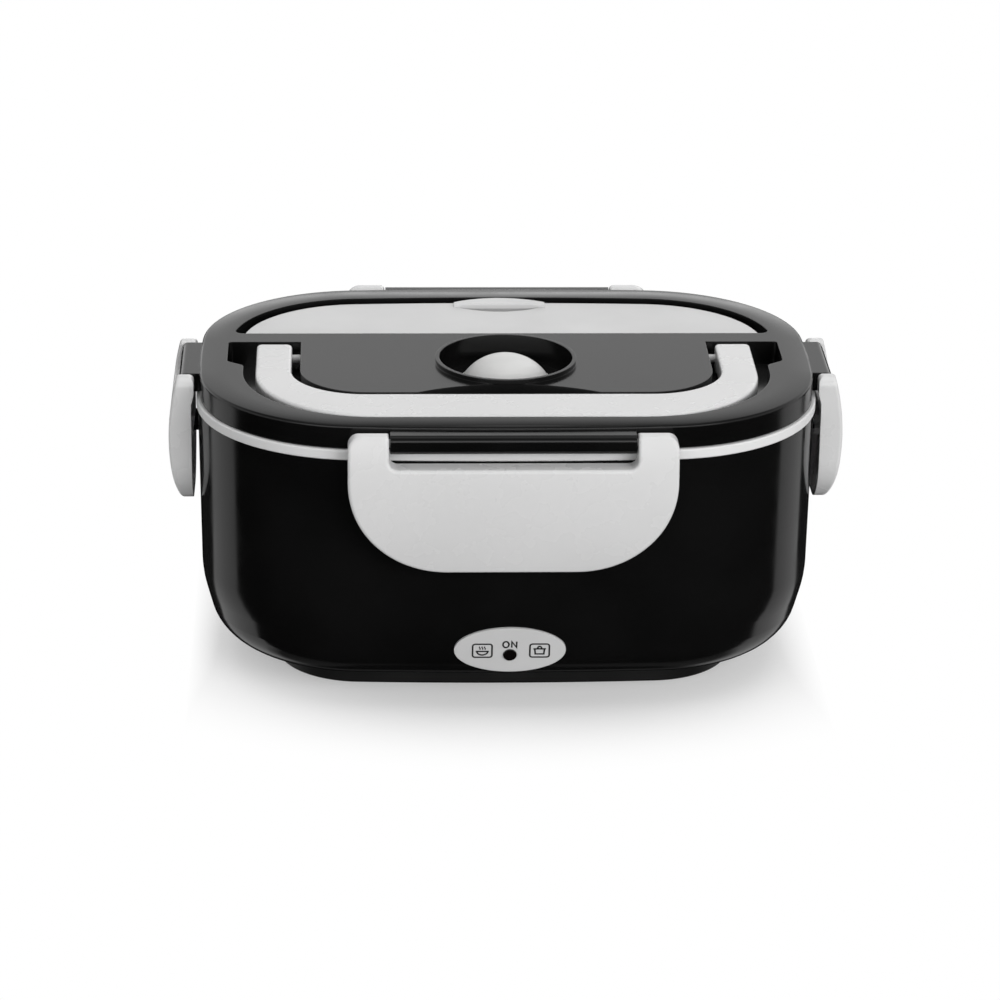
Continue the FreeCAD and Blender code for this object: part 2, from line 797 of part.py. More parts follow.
def make_inner_liner():
    """Tub that hangs from the collar, with an opening for the heating plate and four screw posts."""
    body = new_body("inner_liner")
    plan_loft(
        body,
        "AdditiveLoft",
        "tub_outside",
        [("liner_inset", "collar_ledge"), ("liner_foot_inset", "liner_foot")],
    )
    plan_pad(body, "tub_flange", "liner_flange_inset", "collar_ledge", "liner_top")
    plan_loft(
        body,
        "SubtractiveLoft",
        "tub_inside",
        [("liner_inset liner_wall", "liner_top"), ("liner_foot_inset liner_wall", "plate_foot")],
    )
    round_edges(body, flat_edges(body.Shape, "plate_foot"), "liner_round -liner_wall")
    round_edges(body, flat_edges(body.Shape, "liner_foot"), "liner_round")
    opening = sketch_on(body, "plate_opening", "XY_Plane", "plate_foot")
    rectangle(opening, "opening_length", "opening_depth", "opening_round")
    pocket(body, opening, "liner_wall overrun")
    posts = sketch_on(body, "posts", "XY_Plane", "boss_top")
    circles(posts, "post_x", "post_y", "post_radius")
    pad(body, posts, "liner_foot -boss_top")
    pilots = sketch_on(body, "pilot_holes", "XY_Plane", "boss_top")
    circles(pilots, "post_x", "post_y", "screw_radius screw_gap")
    pocket(body, pilots, "pilot_depth", Reversed=True)
    return body


def make_base_cover():
    """Pedestal ring and floor that close the shell from below."""
    body = new_body("base_cover")
    plan_pad(body, "pedestal", "cover_inset", "foot_proud", "shell_foot")
    round_edges(body, flat_edges(body.Shape, "foot_proud"), "cover_edge")
    plan_pad(body, "pedestal_lip", "cover_lip_inset", "shell_foot", "shell_foot cover_lip")
    plan_pocket(body, "pedestal_inside", "cover_inset cover_wall", "cover_floor_top", "shell_foot cover_lip")
    bosses = sketch_on(body, "cover_bosses", "XY_Plane", "cover_floor_top")
    circles(bosses, "post_x", "post_y", "cover_boss_radius")
    pad(body, bosses, "cover_boss")
    wells = sketch_on(body, "screw_wells", "XY_Plane", "foot_proud")
    circles(wells, "post_x", "post_y", "screw_well_radius")
    pocket(body, wells, "screw_seat -foot_proud", Reversed=True)
    holes = sketch_on(body, "screw_holes", "XY_Plane", "screw_seat")
    circles(holes, "post_x", "post_y", "screw_hole")
    pocket(body, holes, "screw_web overrun", Reversed=True)
    seats = sketch_on(body, "foot_seats", "XY_Plane", "foot_proud")
    circles(seats, "foot_x", "foot_y", "foot_radius")
    pocket(body, seats, "foot_sink", Reversed=True)
    return body


def make_base_screws():
    """Four screws that draw the cover, the shell and the tub together."""
    body = new_body("base_screws")
    body.AllowCompound = True
    heads = sketch_on(body, "screw_heads", "XY_Plane", "screw_seat -screw_head")
    circles(heads, "post_x", "post_y", "screw_head_radius")
    pad(body, heads, "screw_head")
    shanks = sketch_on(body, "screw_shanks", "XY_Plane", "screw_seat")
    circles(shanks, "post_x", "post_y", "screw_radius")
    pad(body, shanks, "screw_length")
    return body


def make_rubber_feet():
    body = new_body("rubber_feet")
    body.AllowCompound = True
    feet = sketch_on(body, "feet", "XY_Plane")
    circles(feet, "foot_x", "foot_y", "foot_radius")
    pad(body, feet, "foot_proud foot_sink")
    return body


def make_heat_plate():
    """Aluminium plate that lies in the tub's floor under the pan."""
    body = new_body("heat_plate")
    face = sketch_on(body, "heat_face", "XY_Plane", "plate_foot")
    rectangle(face, "plate_length", "plate_depth", "plate_round")
    pad(body, face, "plate_thick")
    holes = sketch_on(body, "bracket_holes", "XY_Plane", "plate_foot")
    for side in ("-", ""):
        circle(holes, side + "bracket_screw_x", "", "screw_radius screw_gap")
    pocket(body, holes, "bracket_screw_grip", Reversed=True)
    return body


def make_ptc_heater():
    """Flat heater in its aluminium case, pressed against the plate."""
    body = new_body("ptc_heater")
    case = sketch_on(body, "heater_case", "XY_Plane", "heater_foot")
    rectangle(case, "heater_length", "heater_depth", "heater_edge")
    pad(body, case, "heater_thick")
    return body


def make_heater_bracket():
    """Bent steel strap that clamps the heater to the plate."""
    body = new_body("heater_bracket")
    strap = sketch_on(body, "strap", "XZ_Plane")
    inner, outer = "heater_length bracket_gap", "heater_length bracket_gap bracket_sheet"
    low, foot = "heater_foot -bracket_sheet", "plate_foot -bracket_sheet"
    right = [(outer, low), (outer, foot), ("bracket_reach", foot), ("bracket_reach", "plate_foot")]
    right += [(inner, "plate_foot"), (inner, "heater_foot")]
    outline(strap, right + [(negative(x), z) for x, z in reversed(right)])
    pad(body, strap, "bracket_half bracket_half", SideType="Symmetric")
    holes = sketch_on(body, "strap_holes", "XY_Plane", "plate_foot")
    for side in ("-", ""):
        circle(holes, side + "bracket_screw_x", "", "screw_hole")
    pocket(body, holes, "bracket_sheet")
    return body


def make_bracket_screws():
    body = new_body("bracket_screws")
    body.AllowCompound = True
    heads = sketch_on(body, "strap_heads", "XY_Plane", "plate_foot -bracket_sheet -bracket_screw_head")
    shanks = sketch_on(body, "strap_shanks", "XY_Plane", "plate_foot -bracket_sheet")
    for side in ("-", ""):
        circle(heads, side + "bracket_screw_x", "", "screw_head_radius")
        circle(shanks, side + "bracket_screw_x", "", "screw_radius")
    pad(body, heads, "bracket_screw_head")
    pad(body, shanks, "bracket_sheet bracket_screw_grip -screw_gap")
    return body


def make_thermostat():
    """Disc thermostat under the plate, with two blade terminals."""
    body = new_body("thermostat")
    cap = sketch_on(body, "thermostat_cap_face", "XY_Plane", "plate_foot")
    circle(cap, "", "thermostat_y", "thermostat_radius")
    pad(body, cap, "thermostat_cap", Reversed=True)
    case = sketch_on(body, "thermostat_case", "XY_Plane", "plate_foot -thermostat_cap")
    circle(case, "", "thermostat_y", "thermostat_body_radius")
    pad(body, case, "thermostat_body", Reversed=True)
    blades = sketch_on(body, "thermostat_blades", "XY_Plane", "plate_foot -thermostat_cap -thermostat_body")
    low, high = "thermostat_y -terminal_half", "thermostat_y terminal_half"
    near, far = "terminal_x", "terminal_x terminal_thick"
    outline(blades, [(near, low), (far, low), (far, high), (near, high)])
    outline(blades, [("-" + near, high), (negative(far), high), (negative(far), low), ("-" + near, low)])
    pad(body, blades, "terminal_drop", Reversed=True)
    return body


def make_thermal_fuse():
    """Cut-out fuse with its two leads, lying against the plate."""
    body = new_body("thermal_fuse")
    case = sketch_on(body, "fuse_case", "YZ_Plane")
    circle(case, "-fuse_y", "plate_foot -fuse_radius", "fuse_radius")
    pad(body, case, "fuse_half fuse_half", SideType="Symmetric")
    leads = sketch_on(body, "fuse_leads", "YZ_Plane")
    circle(leads, "-fuse_y", "plate_foot -fuse_radius", "fuse_lead_radius")
    pad(body, leads, "fuse_half fuse_lead fuse_half fuse_lead", SideType="Symmetric")
    return body


def make_inlet_socket():
    """Housing of the mains inlet with its mouth to the right."""
    body = new_body("inlet_socket")
    case = sketch_on(body, "inlet_case", "YZ_Plane", "inlet_back")
    slot_about(case, "inlet_half_width", "inlet_z", "inlet_half_height", "inlet_round")
    pad(body, case, "inlet_length")
    slope = sketch_on(body, "inlet_slope", "XZ_Plane")
    low, clear = "inlet_z -inlet_half_height", "inlet_face overrun"
    lean = [("inlet_face", "inlet_z inlet_half_height"), ("inlet_face -inlet_lean", low)]
    beyond = [("inlet_face -inlet_lean", f"{low} -overrun"), (clear, f"{low} -overrun")]
    outline(slope, lean + beyond + [(clear, "inlet_z inlet_half_height")])
    pocket(body, slope, "inlet_half_width inlet_half_width overrun", SideType="Symmetric")
    mouth = sketch_on(body, "inlet_mouth", "YZ_Plane", "inlet_face")
    slot_about(mouth, "mouth_half_width", "inlet_z", "mouth_half_height", "mouth_round")
    pocket(body, mouth, "mouth_depth")
    holes = sketch_on(body, "contact_holes", "YZ_Plane", "mouth_floor")
    for side in ("-", ""):
        circle(holes, side + "contact_pitch", "inlet_z", "contact_radius screw_gap")
    pocket(body, holes, "inlet_length")
    return body


def make_inlet_pins():
    body = new_body("inlet_pins")
    body.AllowCompound = True
    pins = sketch_on(body, "contacts", "YZ_Plane", "inlet_back -contact_tail")
    for side in ("-", ""):
        circle(pins, side + "contact_pitch", "inlet_z", "contact_radius")
    pad(body, pins, "contact_tail inlet_length -mouth_depth contact_length")
    return body


def make_food_container():
    """Pressed steel pan with a flat flange, standing on the heating plate."""
    body = new_body("food_container")
    plan_loft(
        body,
        "AdditiveLoft",
        "pan_outside",
        [("pan_inset", "pan_flange_foot"), ("pan_foot_inset", "pan_foot")],
    )
    plan_pad(body, "pan_flange", "pan_flange_inset", "pan_flange_foot", "pan_flange_top")
    plan_loft(
        body,
        "SubtractiveLoft",
        "pan_inside",
        [("pan_inset pan_sheet", "pan_flange_top"), ("pan_foot_inset pan_sheet", "pan_foot pan_sheet")],
    )
    round_edges(body, flat_edges(body.Shape, "pan_foot pan_sheet"), "pan_round -pan_sheet")
    round_edges(body, flat_edges(body.Shape, "pan_foot"), "pan_round")
    return body


def make_lid_shell():
    """Black lid with the cutlery tray, the handle trough, the vent well and the hinge lugs moulded in."""
    body = new_body("lid_shell")
    plan_pad(body, "lid_block", "lid_inset", "lid_foot", "lid_top")
    round_edges(body, flat_edges(body.Shape, "lid_top"), "lid_edge")
    plan_pocket(body, "lid_hollow", "lid_inset lid_wall", "lid_foot", "lid_seat")
    plan_pocket(body, "lid_hollow_upper", "lid_inset lid_seat_wall", "lid_seat", "lid_under")
    tray_cup = sketch_on(body, "tray_cup", "XY_Plane", "tray_floor -cup_floor")
    rear_plan(tray_cup, "tray_inset -cup_wall", "tray_front -cup_wall")
    pad(body, tray_cup, "tray_depth cup_floor -lid_plate")
    trough_cup = sketch_on(body, "trough_cup", "XY_Plane", "trough_floor -cup_floor")
    trough_outline(trough_cup, "cup_wall")
    pad(body, trough_cup, "lid_under -trough_floor cup_floor")
    well_cup = sketch_on(body, "well_cup", "XY_Plane", "well_floor -cup_floor")
    circle(well_cup, "", "-vent_forward", "well_radius cup_wall")
    pad(body, well_cup, "well_depth cup_floor -lid_plate")
    finger_cup = sketch_on(body, "finger_cup", "XY_Plane", "trough_floor -cup_floor")
    finger_outline(finger_cup, "cup_wall")
    pad(body, finger_cup, "lid_under -trough_floor cup_floor")
    rim = sketch_on(body, "well_rim", "XY_Plane", "lid_top")
    circle(rim, "", "-vent_forward", "well_radius well_rim")
    pad(body, rim, "well_rim_height")
    tray = sketch_on(body, "tray", "XY_Plane", "lid_top")
    rear_plan(tray, "tray_inset", "tray_front")
    pocket(body, tray, "tray_depth")
    round_edges(body, upright_edges(body.Shape, "tray_front", "tray_floor"), "tray_corner")
    trough = sketch_on(body, "trough", "XY_Plane", "lid_top")
    trough_outline(trough, "")
    pocket(body, trough, "lid_top -trough_floor")
    finger = sketch_on(body, "finger", "XY_Plane", "lid_top")
    finger_outline(finger, "")
    pocket(body, finger, "lid_top -trough_floor")
    well = sketch_on(body, "well", "XY_Plane", "lid_top well_rim_height")
    circle(well, "", "-vent_forward", "well_radius")
    pocket(body, well, "well_rim_height well_depth")
    vent = sketch_on(body, "vent", "XY_Plane", "well_floor")
    circle(vent, "", "-vent_forward", "vent_hole")
    pocket(body, vent, "cup_floor overrun")
    for plane, half, run in (("YZ_Plane", "half_depth", "front"), ("XZ_Plane", "half_length", "side")):
        lugs = sketch_on(body, f"{run}_lugs", plane)
        section = lug_section(f"{half} -lid_inset")
        outline(lugs, section)
        outline(lugs, [(negative(x), z, *round_) for x, z, *round_ in reversed(section)])
        width = f"{run}_latch_gap -lug_play"
        pad(body, lugs, f"{width} {width}", SideType="Symmetric")
        for side in ("", "-"):
            end = width if side else negative(width)
            bores = sketch_on(body, f"{run}_bores{side}", plane, end)
            axis = f"{half} -lid_inset hinge_reach"
            circle(bores, axis, "hinge_z", "stub_radius stub_play")
            circle(bores, negative(axis), "hinge_z", "stub_radius stub_play")
            pocket(body, bores, "stub_length", Reversed=not side)
    for side in ("", "-"):
        start = "trough_inner -cup_wall -overrun"
        bore = sketch_on(body, f"axle_bore{side}", "YZ_Plane", start if not side else negative(start))
        circle(bore, "pivot_y", "pivot_z", "axle_radius axle_play")
        pocket(body, bore, "cup_wall overrun overrun", Reversed=not side)
        start = "half_length -cover_pin_start"
        pin = sketch_on(body, f"cover_bore{side}", "YZ_Plane", start if not side else negative(start))
        circle(pin, "cover_axis_y", "cover_axis_z", "cover_pin_radius cover_pin_play")
        pocket(body, pin, "cover_pin_start -cover_pin_end", Reversed=not side)
    return body


def trough_outline(sketch, wall):
    """U-shaped trough for the handle, with a lobe outside each pivot, drawn out by a wall."""
    out, back = wall, negative(wall)
    lobe, outer, inner = f"trough_lobe {out}", f"trough_outer {out}", f"trough_inner {back}"
    front, island = f"-trough_front {back}", f"-island_front {out}"
    rear = f"trough_rear {out}"
    shoulder, knee = f"-lobe_front {back}", f"-lobe_front -lobe_slope {back}"
    right = [
        (outer, front, f"trough_outer_round {out}"),
        (outer, knee, "lobe_round"),
        (lobe, shoulder, "lobe_round"),
        (lobe, rear, "trough_corner"),
        (inner, rear),
        (inner, island, f"trough_inner_round {back}"),
    ]
    outline(sketch, right + [(negative(x), y, *round_) for x, y, *round_ in reversed(right)])


def finger_outline(sketch, wall):
    """Shallow bow behind the handle's bar that lets a finger under it."""
    half, edge = f"finger_half {wall}", f"-island_front {wall}"
    front = "-bar_rear -bar_gap"
    bowed = (half, edge, "", f"finger_bow {wall}")
    outline(sketch, [(negative(half), front), (half, front), bowed, (negative(half), edge)])


def lug_section(face):
    """Section of a hinge lug that grows out of the lid's side, round at its nose."""
    root, nose = f"{face} -lug_root", f"{face} hinge_reach lug_nose"
    low, crown = "hinge_z -lug_foot", "hinge_z lug_crown"
    return [(root, low), (nose, low, "lug_end_round"), (nose, crown, "lug_end_round"), (root, crown)]


def make_lid_liner():
    """Inner panel of the lid: a flange over the gasket and a boss that enters the pan's mouth."""
    body = new_body("lid_liner")
    plan_pad(body, "panel_flange_face", "panel_inset", "gasket_top", "lid_seat")
    plan_pad(body, "panel_boss_face", "panel_boss", "panel_foot", "gasket_top")
    round_edges(body, flat_edges(body.Shape, "panel_foot"), "panel_round")
    plan_pocket(body, "panel_hollow", "panel_boss panel_wall", "panel_top", "lid_seat")
    hole = sketch_on(body, "panel_vent", "XY_Plane", "panel_top")
    circle(hole, "", "-vent_forward", "panel_hole")
    pocket(body, hole, "panel_thick overrun")
    return body


def make_lid_gasket():
    body = new_body("lid_gasket")
    plan_pad(body, "gasket", "gasket_outer", "pan_flange_top", "gasket_top", inner="gasket_inner")
    return body


def make_vent_plug():
    """Silicone valve: a dome on a thin flange, with a stem through the well's floor."""
    body = new_body("vent_plug")
    body.setExpression("Placement.Base.y", formula("-vent_forward"))
    half = sketch_on(body, "plug_section", "XZ_Plane")
    base = "well_floor plug_flange"
    rise, radius = amount(f"plug_top {negative(base)}"), amount("plug_radius")
    bow = (radius**2 + rise**2) / (rise + rise)
    centre = FreeCAD.Vector(0, amount("plug_top") - bow, 0)
    dome = half.addGeometry(arc_between(centre, bow, vector("plug_radius", base), vector("", "plug_top")))
    corners = [
        ("", "plug_top"),
        ("", "well_floor -plug_stem"),
        ("plug_stem_radius", "well_floor -plug_stem"),
        ("plug_stem_radius", "well_floor"),
        ("plug_flange_radius", "well_floor"),
        ("plug_flange_radius", base),
        ("plug_radius", base),
    ]
    points = [vector(x, z) for x, z in corners]
    lines = [half.addGeometry(Part.LineSegment(*pair)) for pair in zip(points, points[1:])]
    for line, (x, z) in zip(lines, corners):
        place(half, line, 1, x, z)
    for line, after in zip(lines, lines[1:]):
        half.addConstraint(Sketcher.Constraint("Coincident", line, 2, after, 1))
    place(half, lines[-1], 2, *corners[-1])
    half.addConstraint(Sketcher.Constraint("Coincident", lines[-1], 2, dome, 1))
    half.addConstraint(Sketcher.Constraint("Coincident", dome, 2, lines[0], 1))
    half.addConstraint(Sketcher.Constraint("PointOnObject", dome, 3, -2))
    turn = body.newObject("PartDesign::Revolution", "plug_turn")
    turn.Profile = half
    turn.ReferenceAxis = (half, ["V_Axis"])
    doc.recompute()
    return body


def make_handle():
    """Flat carrying handle: two arms and a bar, with stub axles that snap into the trough's inner walls."""
    body = new_body("handle")
    face = sketch_on(body, "handle_plan", "XY_Plane", "pivot_z -arm_nose")
    rear = "pivot_y arm_nose"
    right = [
        ("arm_outer", "-bar_front", "handle_outer_round"),
        ("arm_outer", rear, "arm_end_round"),
        ("arm_inner", rear, "arm_end_round"),
        ("arm_inner", "-bar_rear", "handle_inner_round"),
    ]
    outline(face, right + [(negative(x), y, round_) for x, y, round_ in reversed(right)])
    pad(body, face, "arm_nose arm_nose")
    round_edges(body, flat_edges(body.Shape, "lid_top"), "handle_edge")
    side = sketch_on(body, "handle_side", "YZ_Plane")
    low, high = "pivot_z -arm_nose", "lid_top"
    outline(
        side,
        [
            ("-bar_front", "arm_foot", "bar_round"),
            ("pivot_y -arm_nose -arm_nose", "arm_foot"),
            ("pivot_y -arm_nose", low),
            (rear, low, "arm_nose -fit"),
            (rear, high),
            ("-bar_front", high),
        ],
    )
    frame_around(side, ("-bar_front -overrun", f"{low} -overrun"), (f"{rear} overrun", f"{high} overrun"))
    pocket(body, side, "arm_outer arm_outer overrun", SideType="Symmetric")
    for turn in ("", "-"):
        level = "arm_inner -axle_length" if not turn else negative("arm_inner -axle_length")
        axle = sketch_on(body, f"axle{turn}", "YZ_Plane", level)
        circle(axle, "pivot_y", "pivot_z", "axle_radius")
        pad(body, axle, "axle_length overrun", Reversed=bool(turn))
    return body


def frame_around(sketch, low, high):
    """Rectangle around an outline, so that a cut takes away all that lies outside it."""
    outline(sketch, [low, (high[0], low[1]), high, (low[0], high[1])])


def make_cutlery_cover():
    """Flat cover of the cutlery tray, hinged on two small pins along its straight edge, with a finger tab."""
    body = new_body("cutlery_cover")
    face = sketch_on(body, "cover_plan", "XY_Plane", "cover_foot")
    front = "cover_axis_y -cover_nose"
    rear_plan(face, "tray_inset cover_gap", front)
    pad(body, face, "cover_nose cover_nose")
    names = flat_edges(body.Shape, "cover_foot") + flat_edges(body.Shape, "cover_top")
    straight = [name for name in names if body.Shape.getElement(name).BoundBox.YMax < amount("cover_axis_y")]
    round_edges(body, straight, "cover_nose -screw_gap")
    scoop = sketch_on(body, "scoop", "XY_Plane", "cover_top")
    edge = "half_depth -tab_front"
    outline(scoop, [("-scoop_half", edge, "", "scoop_bow"), ("scoop_half", edge)])
    pocket(body, scoop, "scoop_depth")
    tab = sketch_on(body, "tab", "XY_Plane", "cover_foot")
    side = "half_depth -tab_side"
    outline(tab, [("-tab_half", edge), ("tab_half", edge), ("tab_half", side, "", "tab_bow"), ("-tab_half", side)])
    pad(body, tab, "cover_nose cover_nose tab_rise")
    round_edges(body, flat_edges(body.Shape, "cover_top tab_rise"), "tab_edge")
    for turn in ("", "-"):
        level = "half_length -cover_pin_start" if not turn else "cover_pin_start -half_length"
        pin = sketch_on(body, f"cover_pin{turn}", "YZ_Plane", level)
        circle(pin, "cover_axis_y", "cover_axis_z", "cover_pin_radius")
        pad(body, pin, "cover_pin_start -cover_pin_end -fit", Reversed=bool(turn))
    return body


def make_latch(label, kind, turn, x, y):
    """Light grey latch: a bowed hollow panel with two ears on stub pins and a hook rib inside."""
    blank = new_body(label + "_blank")
    section = sketch_on(blank, "section", "YZ_Plane")
    outline(
        section,
        [
            ("-latch_chin_outer", "-latch_drop"),
            ("latch_chin_inner", "-latch_drop"),
            ("latch_waist", "-latch_waist_drop"),
            ("latch_heel", "-latch_heel_drop"),
            ("latch_heel", "latch_crown", "latch_heel_round"),
            ("-latch_top_outer", "latch_crown", "", "latch_bow"),
        ],
    )
    half, gap, chin, cheek = (f"{kind}_latch_{name}" for name in ("half", "gap", "chin", "cheek"))
    pad(blank, section, f"{half} {half}", SideType="Symmetric")
    front = sketch_on(blank, "front", "XZ_Plane")
    right = [
        (chin, "-latch_drop", f"{kind}_chin_round"),
        (half, "-" + cheek, f"{kind}_cheek_round"),
        (half, "latch_crown", f"{kind}_ear_round"),
        (gap, "latch_crown", "ear_inner_round"),
        (gap, "-latch_notch", "notch_round"),
    ]
    outline(front, right + [(negative(across), z, round_) for across, z, round_ in reversed(right)])
    frame_around(
        front,
        (f"-{half} -overrun", "-latch_drop -overrun"),
        (f"{half} overrun", "latch_crown overrun"),
    )
    pocket(blank, front, "latch_bow latch_bow", SideType="Symmetric")
    bow = [number for number, each in enumerate(blank.Shape.Faces, 1) if is_bow(each)]
    round_edges(blank, [f"Face{bow[0]}"], "latch_edge")
    for side in ("", "-"):
        level = f"{gap} -stub_length" if not side else negative(f"{gap} -stub_length")
        stub = sketch_on(blank, f"stub{side}", "YZ_Plane", level)
        circle(stub, "", "", "stub_radius")
        pad(blank, stub, "stub_length overrun", Reversed=bool(side))
    core = new_body(label + "_core")
    hollow = sketch_on(core, "hollow", "YZ_Plane")
    top, low = "-latch_notch -latch_wall", "latch_wall -latch_drop"
    outline(
        hollow,
        [
            ("-latch_core_chin", low),
            ("latch_heel overrun", low),
            ("latch_heel overrun", top),
            ("-latch_core_top", top, "", "latch_bow -latch_wall"),
        ],
    )
    pad(core, hollow, f"{half} {half}", SideType="Symmetric")
    opening = sketch_on(core, "opening", "XZ_Plane")
    right = [
        (chin, low, f"{kind}_chin_round -latch_wall -latch_wall"),
        (f"{half} -latch_wall", "-" + cheek, f"{kind}_cheek_round -latch_wall -latch_wall"),
        (f"{half} -latch_wall", top, "notch_round"),
    ]
    outline(opening, right + [(negative(across), z, round_) for across, z, round_ in reversed(right)])
    frame_around(
        opening,
        (f"-{half} -overrun", "-latch_drop -overrun"),
        (f"{half} overrun", "latch_crown overrun"),
    )
    pocket(core, opening, "latch_bow latch_bow", SideType="Symmetric")
    hook = new_body(label + "_hook")
    rib = sketch_on(hook, "rib", "YZ_Plane")
    outline(
        rib,
        [
            ("-hook_root", "-hook_foot"),
            ("hook_tip_in", "hook_tip -hook_foot"),
            ("hook_tip_in", "-hook_top"),
            ("-hook_root", "-hook_top"),
        ],
    )
    width = f"{kind}_hook_half"
    pad(hook, rib, f"{width} {width}", SideType="Symmetric")
    shell = doc.addObject("Part::Cut", label + "_shell")
    shell.Base = blank
    shell.Tool = core
    latch = doc.addObject("Part::Fuse", label)
    latch.Label = label
    latch.Base = shell
    latch.Tool = hook
    latch.Placement = FreeCAD.Placement(FreeCAD.Vector(), FreeCAD.Rotation(FreeCAD.Vector(0, 0, 1), turn))
    for axis, words in (("x", x), ("y", y), ("z", "hinge_z")):
        latch.setExpression(f"Placement.Base.{axis}", formula(words))
    doc.recompute()
    return latch


def is_bow(face):
    surface = face.Surface
    return isinstance(surface, Part.Cylinder) and abs(surface.Radius - amount("latch_bow")) < amount("fit")


PARTS = [
    make_outer_shell(),
    make_collar_ring(),
    make_inner_liner(),
    make_heat_plate(),
    make_ptc_heater(),
    make_heater_bracket(),
    make_bracket_screws(),
    make_thermostat(),
    make_thermal_fuse(),
    make_base_cover(),
    make_base_screws(),
    make_rubber_feet(),
    make_inlet_socket(),
    make_inlet_pins(),
    make_indicator_plate(),
    make_lamp_lens(),
    make_lamp_board(),
    make_food_container(),
    make_lid_shell(),
    make_lid_liner(),
    make_lid_gasket(),
    make_vent_plug(),
    make_handle(),
    make_cutlery_cover(),
    make_latch("latch_front", "front", 0, "", "-hinge_y"),
    make_latch("latch_right", "side", 90, "hinge_x", ""),
    make_latch("latch_rear", "front", 180, "", "hinge_y"),
    make_latch("latch_left", "side", 270, "-hinge_x", ""),
]

doc.recompute()
for item in doc.Objects:
    if "Invalid" in item.State or "Error" in item.State:
        raise ValueError(f"{item.Label} failed: {item.State}")
for part in PARTS:
    if part.Shape.isNull() or not part.Shape.isValid():
        raise ValueError(f"{part.Label} has no valid shape")

os.makedirs("parts", exist_ok=True)
for part in PARTS:
    part.Shape.exportStep(f"parts/{part.Label}.step")
    print(part.Label, len(part.Shape.Solids), round(part.Shape.Volume), part.Shape.BoundBox)
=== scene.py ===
import math

import bmesh
import bpy
from mathutils import Matrix, Vector


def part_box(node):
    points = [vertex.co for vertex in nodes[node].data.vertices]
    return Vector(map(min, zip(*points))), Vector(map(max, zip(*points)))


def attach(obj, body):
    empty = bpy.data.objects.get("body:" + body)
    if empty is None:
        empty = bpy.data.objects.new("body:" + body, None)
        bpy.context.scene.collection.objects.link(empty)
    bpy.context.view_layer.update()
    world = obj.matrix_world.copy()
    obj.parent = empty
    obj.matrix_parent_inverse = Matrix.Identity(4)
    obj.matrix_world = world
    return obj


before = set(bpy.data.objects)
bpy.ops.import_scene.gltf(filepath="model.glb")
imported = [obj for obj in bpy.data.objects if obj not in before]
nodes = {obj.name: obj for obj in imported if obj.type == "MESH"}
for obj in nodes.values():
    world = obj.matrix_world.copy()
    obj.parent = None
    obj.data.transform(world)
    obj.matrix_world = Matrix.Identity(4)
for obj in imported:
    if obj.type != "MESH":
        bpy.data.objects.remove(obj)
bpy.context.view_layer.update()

# Base cover: the pedestal that closes the box from below, moulded in black ABS with a fine spark-eroded
# grain, and the inlet housing beside it, which comes from the same kind of tool.


def linear(hex_colour):
    """Linear colour from an sRGB hex value."""
    channels = [int(hex_colour[at : at + 2], 16) / 255 for at in (1, 3, 5)]
    return [c / 12.92 if c <= 0.04045 else ((c + 0.055) / 1.055) ** 2.4 for c in channels] + [1]


def add(tree, kind, links=(), stops=(), **settings):
    """Adds a node with its links, a ramp's colour stops, and its properties or input values."""
    made = tree.nodes.new(kind)
    for at, (position, colour) in enumerate(stops):
        element = made.color_ramp.elements[at] if at < 2 else made.color_ramp.elements.new(position)
        element.position, element.color = position, colour
    for name, value in settings.items():
        if hasattr(made, name):
            setattr(made, name, value)
        else:
            made.inputs[name.replace("_", " ")].default_value = value
    for name, output in dict(links).items():
        tree.links.new(output, made.inputs[name])
    return made


def new_material(name):
    """Empty material with its shader, its output and the object's own coordinates in metres."""
    made = bpy.data.materials.new(name)
    made.use_nodes = True
    tree = made.node_tree
    tree.nodes.clear()
    place = add(tree, "ShaderNodeTexCoord").outputs["Object"]
    shader = add(tree, "ShaderNodeBsdfPrincipled")
    add(tree, "ShaderNodeOutputMaterial", {"Surface": shader.outputs["BSDF"]})
    return made, tree, place, shader


def per_mm(size_mm):
    """Texture scale at which one cell is this many millimetres wide."""
    return 1000 / size_mm


BLUNT_EDGE = 0.0004


def moulded(name, dark, light, roughness, grain_mm, grain_depth_mm, ior=1.54):
    """Moulded plastic: cloudy colour, roughness that wanders a little, the tool's grain and blunt edges."""
    made, tree, place, shader = new_material(name)
    shader.inputs["IOR"].default_value = ior
    cloud = add(tree, "ShaderNodeTexNoise", {"Vector": place}, Scale=per_mm(38), Detail=3)
    tints = (0.35, linear(dark)), (0.65, linear(light))
    tint = add(tree, "ShaderNodeValToRGB", {"Fac": cloud.outputs["Fac"]}, tints)
    tree.links.new(tint.outputs["Color"], shader.inputs["Base Color"])
    handled = add(tree, "ShaderNodeTexNoise", {"Vector": place}, Scale=per_mm(14), Detail=4)
    span = add(
        tree,
        "ShaderNodeMapRange",
        {"Value": handled.outputs["Fac"]},
        From_Min=0.3,
        From_Max=0.7,
        To_Min=roughness[0],
        To_Max=roughness[1],
    )
    tree.links.new(span.outputs["Result"], shader.inputs["Roughness"])
    grain = add(tree, "ShaderNodeTexNoise", {"Vector": place}, Scale=per_mm(grain_mm), Detail=2)
    blunt = add(tree, "ShaderNodeBevel", samples=4, Radius=BLUNT_EDGE)
    relief = add(
        tree,
        "ShaderNodeBump",
        {"Height": grain.outputs["Fac"], "Normal": blunt.outputs["Normal"]},
        Strength=0.6,
        Distance=grain_depth_mm / 1000,
    )
    tree.links.new(relief.outputs["Normal"], shader.inputs["Normal"])
    return made


def dress(material, *names):
    """Gives the named solids this material."""
    for name in names:
        nodes[name].data.materials.clear()
        nodes[name].data.materials.append(material)


grained_abs = moulded("grained_black_ABS", "#0b0b0b", "#111111", (0.42, 0.55), 0.9, 0.03)
dress(grained_abs, "base_cover", "inlet_socket")

